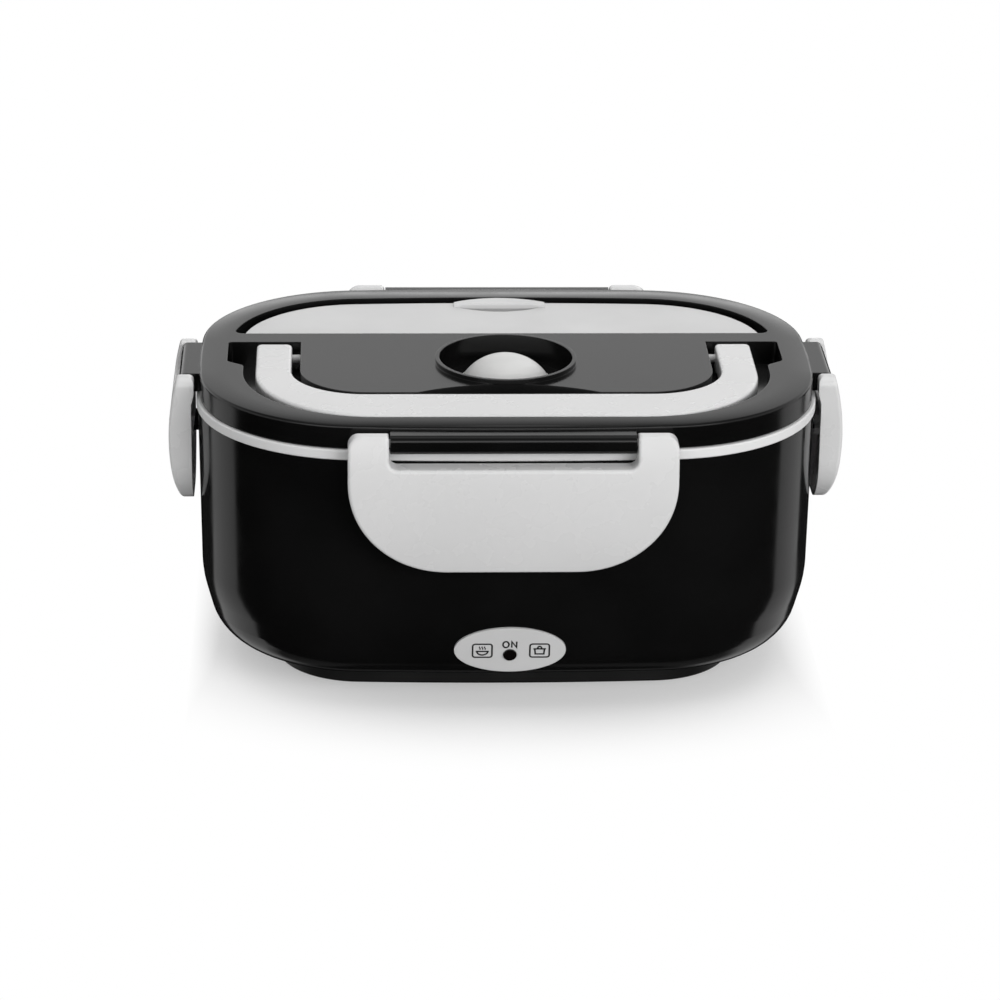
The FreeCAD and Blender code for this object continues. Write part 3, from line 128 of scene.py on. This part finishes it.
# Rubber feet: four discs cut from matt black rubber sheet and pressed into seats of the base cover. Dust in
# the rubber breaks up its black.
rubber, tree, place, shader = new_material("matt_black_rubber")
dust = add(tree, "ShaderNodeTexNoise", {"Vector": place}, Scale=per_mm(2.2), Detail=5)
bloom_stops = (0, linear("#161616")), (1, linear("#2a2927"))
bloom = add(tree, "ShaderNodeValToRGB", {"Fac": dust.outputs["Fac"]}, bloom_stops)
tree.links.new(bloom.outputs["Color"], shader.inputs["Base Color"])
shader.inputs["Roughness"].default_value = 0.82
sheet_relief = add(tree, "ShaderNodeBump", {"Height": dust.outputs["Fac"]}, Strength=0.5, Distance=0.00005)
tree.links.new(sheet_relief.outputs["Normal"], shader.inputs["Normal"])
dress(rubber, "rubber_feet")

# Screws, heater strap and fuse case: zinc-plated steel, whose crystals show as a faint spangle. Four screws
# close the base, with a pressed cross in each head, and two hold the strap.
zinc, tree, place, shader = new_material("zinc_plated_steel")
shader.inputs["Metallic"].default_value = 1
spangle = add(tree, "ShaderNodeTexVoronoi", {"Vector": place}, Scale=per_mm(1.6))
tone_stops = (0, linear("#b9bcb8")), (1, linear("#8f928f"))
tone = add(tree, "ShaderNodeValToRGB", {"Fac": spangle.outputs["Distance"]}, tone_stops)
tree.links.new(tone.outputs["Color"], shader.inputs["Base Color"])
dull = add(tree, "ShaderNodeMapRange", {"Value": spangle.outputs["Distance"]}, To_Min=0.28, To_Max=0.45)
tree.links.new(dull.outputs["Result"], shader.inputs["Roughness"])
dress(zinc, "base_screws", "bracket_screws", "heater_bracket", "thermal_fuse")


def new_piece(name, body, material, mesh_maker):
    """Mesh object filled by mesh_maker, which rides on a body and takes its finish from a slot."""
    mesh = bpy.data.meshes.new(name)
    work = bmesh.new()
    mesh_maker(work)
    bmesh.ops.recalc_face_normals(work, faces=work.faces)
    work.to_mesh(mesh)
    work.free()
    piece = bpy.data.objects.new(name, mesh)
    bpy.context.scene.collection.objects.link(piece)
    mesh.materials.append(material)
    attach(piece, body)
    return piece


def prism(work, outline, to_world, low, high):
    """Closed prism over a flat outline; to_world turns (a, b, lift) into a point."""
    ends = [[work.verts.new(to_world(a, b, lift)) for a, b in outline] for lift in (low, high)]
    work.faces.new(ends[0])
    work.faces.new(list(reversed(ends[1])))
    count = len(outline)
    for at in range(count):
        after = (at + 1) % count
        work.faces.new((ends[0][at], ends[0][after], ends[1][after], ends[1][at]))


HEAD_RADIUS = 0.0032
CROSS_ARM, CROSS_HALF_WIDTH, CROSS_LIFT = 0.0019, 0.00042, 0.00008


def cross_marks(work):
    """One thin dark cross on each of the four screw heads under the base, painted shade for its recess."""
    low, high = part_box("base_screws")
    outline = []
    for turn in range(4):
        angle = math.radians(90 * turn)
        half = CROSS_HALF_WIDTH
        corners = ((CROSS_ARM, -half), (CROSS_ARM, half), (half, half))
        cos, sin = math.cos(angle), math.sin(angle)
        outline += [(a * cos - b * sin, a * sin + b * cos) for a, b in corners]
    for x in (low.x + HEAD_RADIUS, high.x - HEAD_RADIUS):
        for y in (low.y + HEAD_RADIUS, high.y - HEAD_RADIUS):
            prism(work, outline, lambda a, b, lift: (x + a, y + b, low.z - lift), 0, CROSS_LIFT)


# Painted shade: the screws' cross recesses are drawn as thin dark crosses laid on the heads, coloured as the
# shade inside a recess.
shade, tree, place, shader = new_material("shadowed_steel_recess")
recess_shade_mottle = add(tree, "ShaderNodeTexNoise", {"Vector": place}, Scale=per_mm(0.8))
deep_stops = (0, linear("#121212")), (1, linear("#262626"))
deep = add(tree, "ShaderNodeValToRGB", {"Fac": recess_shade_mottle.outputs["Fac"]}, deep_stops)
tree.links.new(deep.outputs["Color"], shader.inputs["Base Color"])
shader.inputs["Roughness"].default_value = 0.6
new_piece("base_screw_crosses", "base", shade, cross_marks)

# Outer shell: one deep moulding in polished black ABS, so it mirrors the studio softly. The tool was hand
# polished, which leaves long shallow waves in the reflection.
black_abs = moulded("polished_black_ABS", "#0c0c0c", "#101010", (0.10, 0.17), 9, 0.012, ior=1.45)
dress(black_abs, "outer_shell")

# Collar ring: light grey ABS band on the shell's rim, held by a tongue inside the wall. Its fine satin finish
# keeps the line even all the way round.
grey_abs = moulded("satin_light_grey_ABS", "#dcdcdc", "#e2e2e2", (0.36, 0.46), 0.8, 0.012)
dress(grey_abs, "collar_ring")

# Tub: dark polypropylene moulding that hangs from the collar and holds the pan. It is seen only with the pan
# lifted out, as a dull dark hollow.
dark_pp = moulded("dark_polypropylene", "#1d1e1f", "#242526", (0.45, 0.58), 1.2, 0.02, ior=1.49)
dress(dark_pp, "inner_liner")

# Heating plate and heater case: rolled and extruded aluminium, in the tub's floor and under it. The rolls
# leave fine lines along X, which draw the reflections out.
aluminium, tree, place, shader = new_material("mill_finish_aluminium")
shader.inputs["Metallic"].default_value = 1
stretched = add(tree, "ShaderNodeMapping", {"Vector": place}, Scale=(0.04, 1, 1))
lines = add(tree, "ShaderNodeTexNoise", {"Vector": stretched.outputs["Vector"]}, Scale=per_mm(0.7), Detail=3)
sheen_stops = (0, linear("#b4b6b8")), (1, linear("#d3d5d6"))
sheen = add(tree, "ShaderNodeValToRGB", {"Fac": lines.outputs["Fac"]}, sheen_stops)
tree.links.new(sheen.outputs["Color"], shader.inputs["Base Color"])
drag = add(tree, "ShaderNodeMapRange", {"Value": lines.outputs["Fac"]}, To_Min=0.3, To_Max=0.5)
tree.links.new(drag.outputs["Result"], shader.inputs["Roughness"])
rolled = add(tree, "ShaderNodeBump", {"Height": lines.outputs["Fac"]}, Strength=0.3, Distance=0.00003)
tree.links.new(rolled.outputs["Normal"], shader.inputs["Normal"])
dress(aluminium, "heat_plate", "ptc_heater")

# Thermostat: brown phenolic moulding that sits against the heating plate. Its wood-flour filler mottles the
# colour a little.
phenolic = moulded("mottled_brown_phenolic", "#3a2114", "#51301d", (0.4, 0.55), 1.1, 0.015)
dress(phenolic, "thermostat")

# Inlet pins: drawn brass, pressed into the inlet's housing. The drawing leaves faint lengthwise marks in
# their warm shine.
brass, tree, place, shader = new_material("drawn_brass")
shader.inputs["Metallic"].default_value = 1
drawn = add(tree, "ShaderNodeMapping", {"Vector": place}, Scale=(0.05, 1, 1))
marks = add(tree, "ShaderNodeTexNoise", {"Vector": drawn.outputs["Vector"]}, Scale=per_mm(0.5), Detail=2)
gold_stops = (0, linear("#c2a25a")), (1, linear("#dcc27e"))
gold = add(tree, "ShaderNodeValToRGB", {"Fac": marks.outputs["Fac"]}, gold_stops)
tree.links.new(gold.outputs["Color"], shader.inputs["Base Color"])
polish = add(tree, "ShaderNodeMapRange", {"Value": marks.outputs["Fac"]}, To_Min=0.2, To_Max=0.36)
tree.links.new(polish.outputs["Result"], shader.inputs["Roughness"])
dress(brass, "inlet_pins")

# Indicator oval: a flat light grey plate set into the lower front, printed with dark pictograms: a bowl with
# steam, a plugged-in pan, and the word ON over the lamp.
oval_abs = moulded("printed_grey_ABS", "#cbcbcb", "#d1d1d1", (0.4, 0.5), 0.8, 0.01)
dress(oval_abs, "indicator_plate")
OVAL_TILT = math.radians(15)
OVAL_MIDDLE = Vector((0, -0.0731, 0.0243))
OVAL_ACROSS = Vector((1, 0, 0))
OVAL_UP = Vector((0, -math.sin(OVAL_TILT), math.cos(OVAL_TILT)))
OVAL_OUT = Vector((0, -math.cos(OVAL_TILT), -math.sin(OVAL_TILT)))
PRINT_LIFT = 0.00005


def on_oval(a, b, lift):
    """Point on the oval's face, a and b in millimetres from its middle."""
    return OVAL_MIDDLE + OVAL_ACROSS * (a / 1000) + OVAL_UP * (b / 1000) + OVAL_OUT * lift


def stroke(work, points, width, closed=False):
    """Printed line of even width through points in millimetres, with mitred turns."""
    line = [Vector((a, b, 0)) for a, b in points]
    count = len(line)
    edges = []
    for at, point in enumerate(line):
        before = line[at - 1] if at or closed else point
        after = line[(at + 1) % count] if at < count - 1 or closed else point
        run_in = (point - before).normalized() if point != before else (after - point).normalized()
        run_out = (after - point).normalized() if point != after else run_in
        side = Vector((-run_in.y - run_out.y, run_in.x + run_out.x, 0)).normalized()
        reach = width / 2 / max(0.4, side.dot(Vector((-run_in.y, run_in.x, 0))))
        edges.append((point + side * reach, point - side * reach))
    steps = range(count) if closed else range(count - 1)
    for at in steps:
        (left, right), (next_left, next_right) = edges[at], edges[(at + 1) % count]
        flat = [(p.x, p.y) for p in (right, next_right, next_left, left)]
        prism(work, flat, on_oval, 0, PRINT_LIFT)


def arc(centre_a, centre_b, radius_a, radius_b, start, end, steps=16):
    """Points of an elliptic arc in millimetres, angles in degrees."""
    turns = [math.radians(start + (end - start) * at / steps) for at in range(steps + 1)]
    return [(centre_a + radius_a * math.cos(t), centre_b + radius_b * math.sin(t)) for t in turns]


def round_frame(centre_a, centre_b, half_a, half_b, corner):
    """Points of a rectangle with round corners, in millimetres."""
    points = []
    for sign_a, sign_b, start in ((1, 1, 0), (-1, 1, 90), (-1, -1, 180), (1, -1, 270)):
        middle = centre_a + sign_a * (half_a - corner), centre_b + sign_b * (half_b - corner)
        points += arc(*middle, corner, corner, start, start + 90, 5)
    return points


def oval_marks(work):
    """Two framed pictograms and the two letters, all as strokes."""
    line, letter_line, wisp_line = 0.58, 0.6, 0.4
    bowl, pan = -9.7, 10.4
    for side in (bowl, pan):
        stroke(work, round_frame(side, -0.2, 3.4, 2.9, 0.9), line, closed=True)
    stroke(work, arc(bowl, -0.5, 1.9, 1.6, 180, 360), line)
    stroke(work, [(bowl - 2.3, -0.5), (bowl + 2.3, -0.5)], line)
    for shift in (-0.9, 0, 0.9):
        wisp = [(bowl + shift + 0.18 * math.sin(at * 1.5), 0.3 + 0.34 * at) for at in range(5)]
        stroke(work, wisp, wisp_line)
    stroke(work, [(pan - 1.7, 0.4), (pan - 1.5, -1.7), (pan + 1.5, -1.7), (pan + 1.7, 0.4)], line)
    stroke(work, [(pan - 2.2, 0.55), (pan + 2.2, 0.55)], line)
    stroke(work, arc(pan, 0.75, 0.7, 0.9, 0, 180, 8), line)
    stroke(work, arc(-1.45, 2.5, 1.05, 1.3, 0, 360, 24)[:-1], letter_line, closed=True)
    stroke(work, [(0.6, 1.2), (0.6, 3.8), (2.3, 1.2), (2.3, 3.8)], letter_line)


ink, tree, place, shader = new_material("dark_pad_print_ink")
coverage = add(tree, "ShaderNodeTexNoise", {"Vector": place}, Scale=per_mm(0.6), Detail=3)
ink_tone_stops = (0, linear("#0c0c0c")), (1, linear("#1c1c1c"))
ink_tone = add(tree, "ShaderNodeValToRGB", {"Fac": coverage.outputs["Fac"]}, ink_tone_stops)
tree.links.new(ink_tone.outputs["Color"], shader.inputs["Base Color"])
shader.inputs["Roughness"].default_value = 0.5
new_piece("oval_print", "base", ink, oval_marks)

# Lamp lens: smoked acrylic rod set into the oval, nearly black while the lamp is off. Its face is polished,
# so it carries a small highlight.
lens, tree, place, shader = new_material("smoked_acrylic")
haze = add(tree, "ShaderNodeTexNoise", {"Vector": place}, Scale=per_mm(1.5))
smoke_stops = (0, linear("#060505")), (1, linear("#120d0d"))
smoke = add(tree, "ShaderNodeValToRGB", {"Fac": haze.outputs["Fac"]}, smoke_stops)
tree.links.new(smoke.outputs["Color"], shader.inputs["Base Color"])
shader.inputs["Roughness"].default_value = 0.12
shader.inputs["IOR"].default_value = 1.49
dress(lens, "lamp_lens")

# Lamp board: a small piece of green coated circuit board on two pegs behind the lens. The weave of its glass
# cloth just shows.
board, tree, place, shader = new_material("green_coated_board")
weave = add(tree, "ShaderNodeTexChecker", {"Vector": place}, Scale=per_mm(0.8))
weave.inputs["Color1"].default_value = linear("#1d5a34")
weave.inputs["Color2"].default_value = linear("#226a3d")
tree.links.new(weave.outputs["Color"], shader.inputs["Base Color"])
shader.inputs["Roughness"].default_value = 0.35
dress(board, "lamp_board")

# Pan: deep-drawn stainless steel with a flat flange, standing on the heating plate. It was brushed along its
# length after drawing, which gives a soft, streaked shine.
steel, tree, place, shader = new_material("brushed_stainless_steel")
shader.inputs["Metallic"].default_value = 1
along = add(tree, "ShaderNodeMapping", {"Vector": place}, Scale=(0.03, 1, 1))
brush = add(tree, "ShaderNodeTexNoise", {"Vector": along.outputs["Vector"]}, Scale=per_mm(0.45), Detail=4)
bright_stops = (0, linear("#c6c6c6")), (1, linear("#dedede"))
bright = add(tree, "ShaderNodeValToRGB", {"Fac": brush.outputs["Fac"]}, bright_stops)
tree.links.new(bright.outputs["Color"], shader.inputs["Base Color"])
satin = add(tree, "ShaderNodeMapRange", {"Value": brush.outputs["Fac"]}, To_Min=0.36, To_Max=0.54)
tree.links.new(satin.outputs["Result"], shader.inputs["Roughness"])
scratches = add(tree, "ShaderNodeBump", {"Height": brush.outputs["Fac"]}, Strength=0.35, Distance=0.00002)
tree.links.new(scratches.outputs["Normal"], shader.inputs["Normal"])
dress(steel, "food_container")

# Lid: polished black ABS with all its wells in one moulding. It is handled most, so its gloss is a little
# more worn than the shell's. Its top falls away by a millimetre over the last 10 mm before the edge.
LID_CORNER_MIDDLE = 0.0514, 0.0167, 1
FALL_START, FALL_END, FALL_DEPTH = 0.0475, 0.0575, 0.001
lid_abs = moulded("handled_black_ABS", "#0a0a0a", "#0e0e0e", (0.14, 0.22), 7, 0.01, ior=1.5)
tree = lid_abs.node_tree
place = add(tree, "ShaderNodeTexCoord").outputs["Object"]
quarter = add(tree, "ShaderNodeVectorMath", {0: place}, operation="ABSOLUTE")
corner = add(tree, "ShaderNodeVectorMath", {0: quarter.outputs["Vector"]}, operation="SUBTRACT")
corner.inputs[1].default_value = LID_CORNER_MIDDLE
outside = add(tree, "ShaderNodeVectorMath", {0: corner.outputs["Vector"]}, operation="MAXIMUM")
outside.inputs[1].default_value = (0, 0, 0)
reach = add(tree, "ShaderNodeVectorMath", {0: outside.outputs["Vector"]}, operation="LENGTH")
rim = {"Value": reach.outputs["Value"]}
rim = add(tree, "ShaderNodeMapRange", rim, From_Min=FALL_START, From_Max=FALL_END)
fall = add(tree, "ShaderNodeMath", {0: rim.outputs["Result"], 1: rim.outputs["Result"]}, operation="MULTIPLY")
moulding = next(each for each in tree.nodes if each.type == "BSDF_PRINCIPLED")
surface = {"Height": fall.outputs["Value"], "Normal": moulding.inputs["Normal"].links[0].from_socket}
crown = add(tree, "ShaderNodeBump", surface, Strength=1, Distance=FALL_DEPTH, invert=True)
tree.links.new(crown.outputs["Normal"], moulding.inputs["Normal"])
dress(lid_abs, "lid_shell")

# Inner panel of the lid: pale polypropylene, welded under the lid. It is seen only with the lid lifted, as an
# even milky grey.
pale_pp = moulded("pale_polypropylene", "#c3c3c0", "#cbcbc8", (0.45, 0.56), 1.0, 0.015, ior=1.49)
dress(pale_pp, "lid_liner")

# Gasket and vent plug: pale silicone, fitted to the inner panel and to the vent hole. It is a little
# translucent, with a soft dusty sheen.
silicone, tree, place, shader = new_material("pale_silicone")
milk = add(tree, "ShaderNodeTexNoise", {"Vector": place}, Scale=per_mm(5), Detail=3)
pale_stops = (0, linear("#cdcdcc")), (1, linear("#d6d6d5"))
pale = add(tree, "ShaderNodeValToRGB", {"Fac": milk.outputs["Fac"]}, pale_stops)
tree.links.new(pale.outputs["Color"], shader.inputs["Base Color"])
shader.inputs["Roughness"].default_value = 0.48
shader.inputs["IOR"].default_value = 1.41
shader.inputs["Subsurface Weight"].default_value = 0.15
shader.inputs["Subsurface Radius"].default_value = (0.002, 0.002, 0.002)
dusty = add(tree, "ShaderNodeBump", {"Height": milk.outputs["Fac"]}, Strength=0.3, Distance=0.00004)
tree.links.new(dusty.outputs["Normal"], shader.inputs["Normal"])
dress(silicone, "lid_gasket", "vent_plug")

# Handle and latches: thicker light grey ABS mouldings that turn on stub pins of their own. They are smooth,
# with the faint flow of the melt in the colour.
latch_abs = moulded("satin_grey_ABS_moulding", "#d4d4d4", "#d7d7d7", (0.25, 0.29), 9, 0.004)
dress(latch_abs, "handle", "latch_front", "latch_right", "latch_rear", "latch_left")

# Cutlery cover: a thin light grey moulding that closes the tray in the lid. The hollow in front of its finger
# tab carries painted shade: below the cover's top face the colour darkens towards half, for the shadow under
# the tab's lip.
HOLLOW_FLOOR, HOLLOW_EDGE, HOLLOW_SHADE_TONE = 0.1066, 0.1074, 0.5
cover_abs = moulded("thin_grey_ABS_cover", "#c8c8c8", "#cfcfcf", (0.36, 0.48), 1.0, 0.012)
tree = cover_abs.node_tree
place = add(tree, "ShaderNodeTexCoord").outputs["Object"]
lift = add(tree, "ShaderNodeSeparateXYZ", {"Vector": place}).outputs["Z"]
# Painted shade: the cover's colour is scaled down where it lies lower than its top face, darkest in the
# hollow before the tab.
hollow_shade_ramp = add(
    tree,
    "ShaderNodeMapRange",
    {"Value": lift},
    From_Min=HOLLOW_FLOOR,
    From_Max=HOLLOW_EDGE,
    To_Min=HOLLOW_SHADE_TONE,
)
moulding = next(each for each in tree.nodes if each.type == "BSDF_PRINCIPLED")
unshaded_colour = {0: moulding.inputs["Base Color"].links[0].from_socket, "Scale": hollow_shade_ramp.outputs["Result"]}
painted_hollow_shade = add(tree, "ShaderNodeVectorMath", unshaded_colour, operation="SCALE")
tree.links.new(painted_hollow_shade.outputs["Vector"], moulding.inputs["Base Color"])
dress(cover_abs, "cutlery_cover")

# Floor: a wide sheet of white paper that takes the box's real shadow. The shadow's strength and edge are
# painted
# light: to the camera the paper glows partly white close to the box, and fully white, as the background,
# outside an oval a little right of the middle and beside the box.
floor_mesh = bpy.data.meshes.new("floor")
half_sheet = 6
sheet_corners = [(half_sheet * a, half_sheet * b, 0) for a, b in ((-1, -1), (1, -1), (1, 1), (-1, 1))]
floor_mesh.from_pydata(sheet_corners, [], [(0, 1, 2, 3)])
floor = bpy.data.objects.new("floor", floor_mesh)
bpy.context.scene.collection.objects.link(floor)
paper, tree, place, shader = new_material("white_paper_sweep")
fibre = add(tree, "ShaderNodeTexNoise", {"Vector": place}, Scale=per_mm(3), Detail=3)
white_stops = (0, linear("#fbfbfb")), (1, linear("#ffffff"))
white = add(tree, "ShaderNodeValToRGB", {"Fac": fibre.outputs["Fac"]}, white_stops)
shader.inputs["Roughness"].default_value = 0.9
shader.inputs["Specular IOR Level"].default_value = 0
SHADOW_SQUASH, SHADOW_SHIFT = (0.72, 1, 0), (-0.0055, 0, 0)
SHADOW_START, SHADOW_END, SHADOW_VEIL = 0.06, 0.125, 0.32
SIDE_START, SIDE_END = 0.094, 0.114
from_middle = add(tree, "ShaderNodeVectorMath", {0: place}, operation="MULTIPLY_ADD")
from_middle.inputs[1].default_value = SHADOW_SQUASH
from_middle.inputs[2].default_value = SHADOW_SHIFT
far = add(tree, "ShaderNodeVectorMath", {0: from_middle.outputs["Vector"]}, operation="LENGTH")
# Painted light: this share of white glow veils the shadow near the box and wipes it out past the oval and
# beside the box.
fade = add(
    tree,
    "ShaderNodeMapRange",
    {"Value": far.outputs["Value"]},
    interpolation_type="SMOOTHSTEP",
    From_Min=SHADOW_START,
    From_Max=SHADOW_END,
    To_Min=SHADOW_VEIL,
)
sideways = add(tree, "ShaderNodeSeparateXYZ", {"Vector": place}).outputs["X"]
either_side = add(tree, "ShaderNodeMath", {0: sideways}, operation="ABSOLUTE").outputs["Value"]
beside = add(tree, "ShaderNodeMapRange", {"Value": either_side}, From_Min=SIDE_START, From_Max=SIDE_END)
bare = {0: fade.outputs["Result"], 1: beside.outputs["Result"]}
bare = add(tree, "ShaderNodeMath", bare, operation="MAXIMUM").outputs["Value"]
seen = add(tree, "ShaderNodeLightPath").outputs["Is Camera Ray"]
share = add(tree, "ShaderNodeMath", {0: bare, 1: seen}, operation="MULTIPLY")
table = add(tree, "ShaderNodeMix", {"Factor": seen}, data_type="RGBA")
table.inputs[6].default_value = linear("#b4b4b4")
tree.links.new(white.outputs["Color"], table.inputs[7])
tree.links.new(table.outputs[2], shader.inputs["Base Color"])
glow = add(tree, "ShaderNodeEmission", Strength=1)
blend = add(
    tree,
    "ShaderNodeMixShader",
    {0: share.outputs["Value"], 1: shader.outputs["BSDF"], 2: glow.outputs["Emission"]},
)
output = next(each for each in tree.nodes if each.type == "OUTPUT_MATERIAL")
tree.links.new(blend.outputs["Shader"], output.inputs["Surface"])
floor_mesh.materials.append(paper)
floor.visible_glossy = False

# Studio: white to the camera. The box itself mirrors a bright backdrop behind it, a grey room round it, a
# dark ceiling with a skylight, a window in front, and two leaning panels that reach below the table.
world = bpy.data.worlds.new("studio")
bpy.context.scene.world = world
world.use_nodes = True
tree = world.node_tree
tree.nodes.clear()
direction = add(tree, "ShaderNodeTexCoord").outputs["Generated"]
height = add(tree, "ShaderNodeSeparateXYZ", {"Vector": direction}).outputs["Z"]
flat = add(tree, "ShaderNodeVectorMath", {0: direction}, operation="MULTIPLY")
flat.inputs[1].default_value = (1, 1, 0)
level = add(tree, "ShaderNodeVectorMath", {0: flat.outputs["Vector"]}, operation="NORMALIZE")
rearward = add(tree, "ShaderNodeSeparateXYZ", {"Vector": level.outputs["Vector"]}).outputs["Y"]


def grey(bright):
    """Neutral colour of a ramp's stop."""
    return bright, bright, bright, 1


room = add(
    tree,
    "ShaderNodeMapRange",
    {"Value": rearward},
    From_Min=0.1,
    From_Max=0.6,
    To_Min=0.76,
    To_Max=1.35,
)
dark_ceiling = (0.12, grey(1)), (0.26, grey(0.55)), (0.5, grey(0.55)), (0.72, grey(0.11))
dark_ceiling += (0.86, grey(0.11)), (0.97, grey(0.5))
ceiling = add(tree, "ShaderNodeValToRGB", {"Fac": height}, dark_ceiling)
walls = {0: room.outputs["Result"], 1: ceiling.outputs["Color"]}
walls = add(tree, "ShaderNodeMath", walls, operation="MULTIPLY")
ahead = add(tree, "ShaderNodeMapRange", {"Value": rearward}, From_Min=-0.6, From_Max=-0.8, To_Max=1.2)
sill = (0.02, grey(0)), (0.05, grey(1)), (0.32, grey(1)), (0.45, grey(0))
pane = add(tree, "ShaderNodeValToRGB", {"Fac": height}, sill)
window = {0: ahead.outputs["Result"], 1: pane.outputs["Color"], 2: walls.outputs["Value"]}
above = add(tree, "ShaderNodeMath", window, operation="MULTIPLY_ADD")
PANEL_LEAN = 0.9
panel_span = (0.19, grey(0)), (0.22, grey(1)), (0.92, grey(1)), (0.97, grey(0.1))
near_edge = add(tree, "ShaderNodeValToRGB", {"Fac": rearward}, panel_span)
lean = add(tree, "ShaderNodeMath", {0: height, 2: rearward}, operation="MULTIPLY_ADD")
lean.inputs[1].default_value = PANEL_LEAN
far_edge = add(
    tree,
    "ShaderNodeMapRange",
    {"Value": lean.outputs["Value"]},
    From_Min=0.346,
    From_Max=0.376,
    To_Min=0.6,
    To_Max=0.015,
)
panel = {0: near_edge.outputs["Color"], 1: far_edge.outputs["Result"]}
panel = add(tree, "ShaderNodeMath", panel, operation="MULTIPLY")
low_edge = add(tree, "ShaderNodeMapRange", {"Value": height}, From_Min=-0.86, From_Max=-0.78, To_Min=0.12)
cut_panel = {0: panel.outputs["Value"], 1: low_edge.outputs["Result"]}
below = add(tree, "ShaderNodeMath", cut_panel, operation="MULTIPLY")
rise = add(tree, "ShaderNodeMapRange", {"Value": height}, From_Min=-0.02, From_Max=0.06)
halves = {"Factor": rise.outputs["Result"], "A": below.outputs["Value"], "B": above.outputs["Value"]}
studio = add(tree, "ShaderNodeMix", halves)
around = add(tree, "ShaderNodeBackground", {"Color": studio.outputs["Result"]}, Strength=1)
behind = add(tree, "ShaderNodeBackground", Strength=1)
behind.inputs["Color"].default_value = (1, 1, 1, 1)
eye = add(tree, "ShaderNodeLightPath")
both = add(
    tree,
    "ShaderNodeMixShader",
    {0: eye.outputs["Is Camera Ray"], 1: around.outputs["Background"], 2: behind.outputs["Background"]},
)
add(tree, "ShaderNodeOutputWorld", {"Surface": both.outputs["Shader"]})


def softbox(name, place, aim, width, tall, watts):
    """Large lamp that lights the box and is not mirrored in it."""
    lamp = bpy.data.lights.new(name, "AREA")
    lamp.shape = "RECTANGLE"
    lamp.size, lamp.size_y = width, tall
    lamp.energy = watts
    lamp_object = bpy.data.objects.new(name, lamp)
    bpy.context.scene.collection.objects.link(lamp_object)
    lamp_object.location = place
    lamp_object.rotation_euler = (Vector(aim) - Vector(place)).to_track_quat("-Z", "Y").to_euler()
    lamp_object.visible_glossy = False


softbox("overhead_softbox", (0, 0.1, 1.4), (0, 0, 0.05), 1.6, 1.2, 8.5)
softbox("front_fill", (0.95, -1.5, 0.85), (0, 0, 0.06), 1.2, 0.8, 19)
softbox("rear_fill", (0.3, 1.6, 0.7), (0, 0, 0.06), 1.2, 0.8, 8)

# Camera: a long lens at the photograph's height and distance, turned a little to the left and tilted
# slightly.
YAW, RISE, ROLL = math.radians(-2.3615), math.radians(21.3098), math.radians(0.71486)
DISTANCE = 1.46273
AIM = Vector((-0.00113906, 0, 0.0522616))
back = Vector((math.sin(YAW) * math.cos(RISE), -math.cos(YAW) * math.cos(RISE), math.sin(RISE)))
across = Vector((math.cos(YAW), math.sin(YAW), 0))
upward = back.cross(across)
stand = Matrix((across, upward, back)).transposed() @ Matrix.Rotation(ROLL, 3, "Z")
camera_data = bpy.data.cameras.new("camera")
camera_data.sensor_width = 36
camera_data.sensor_fit = "HORIZONTAL"
camera_data.lens = 4.00913713 * 36
camera_data.clip_start = 0.05
camera_data.clip_end = 50
camera = bpy.data.objects.new("camera", camera_data)
bpy.context.scene.collection.objects.link(camera)
camera.matrix_world = Matrix.Translation(AIM + back * DISTANCE) @ stand.to_4x4()
bpy.context.scene.camera = camera
bpy.context.scene.view_settings.view_transform = "Standard"
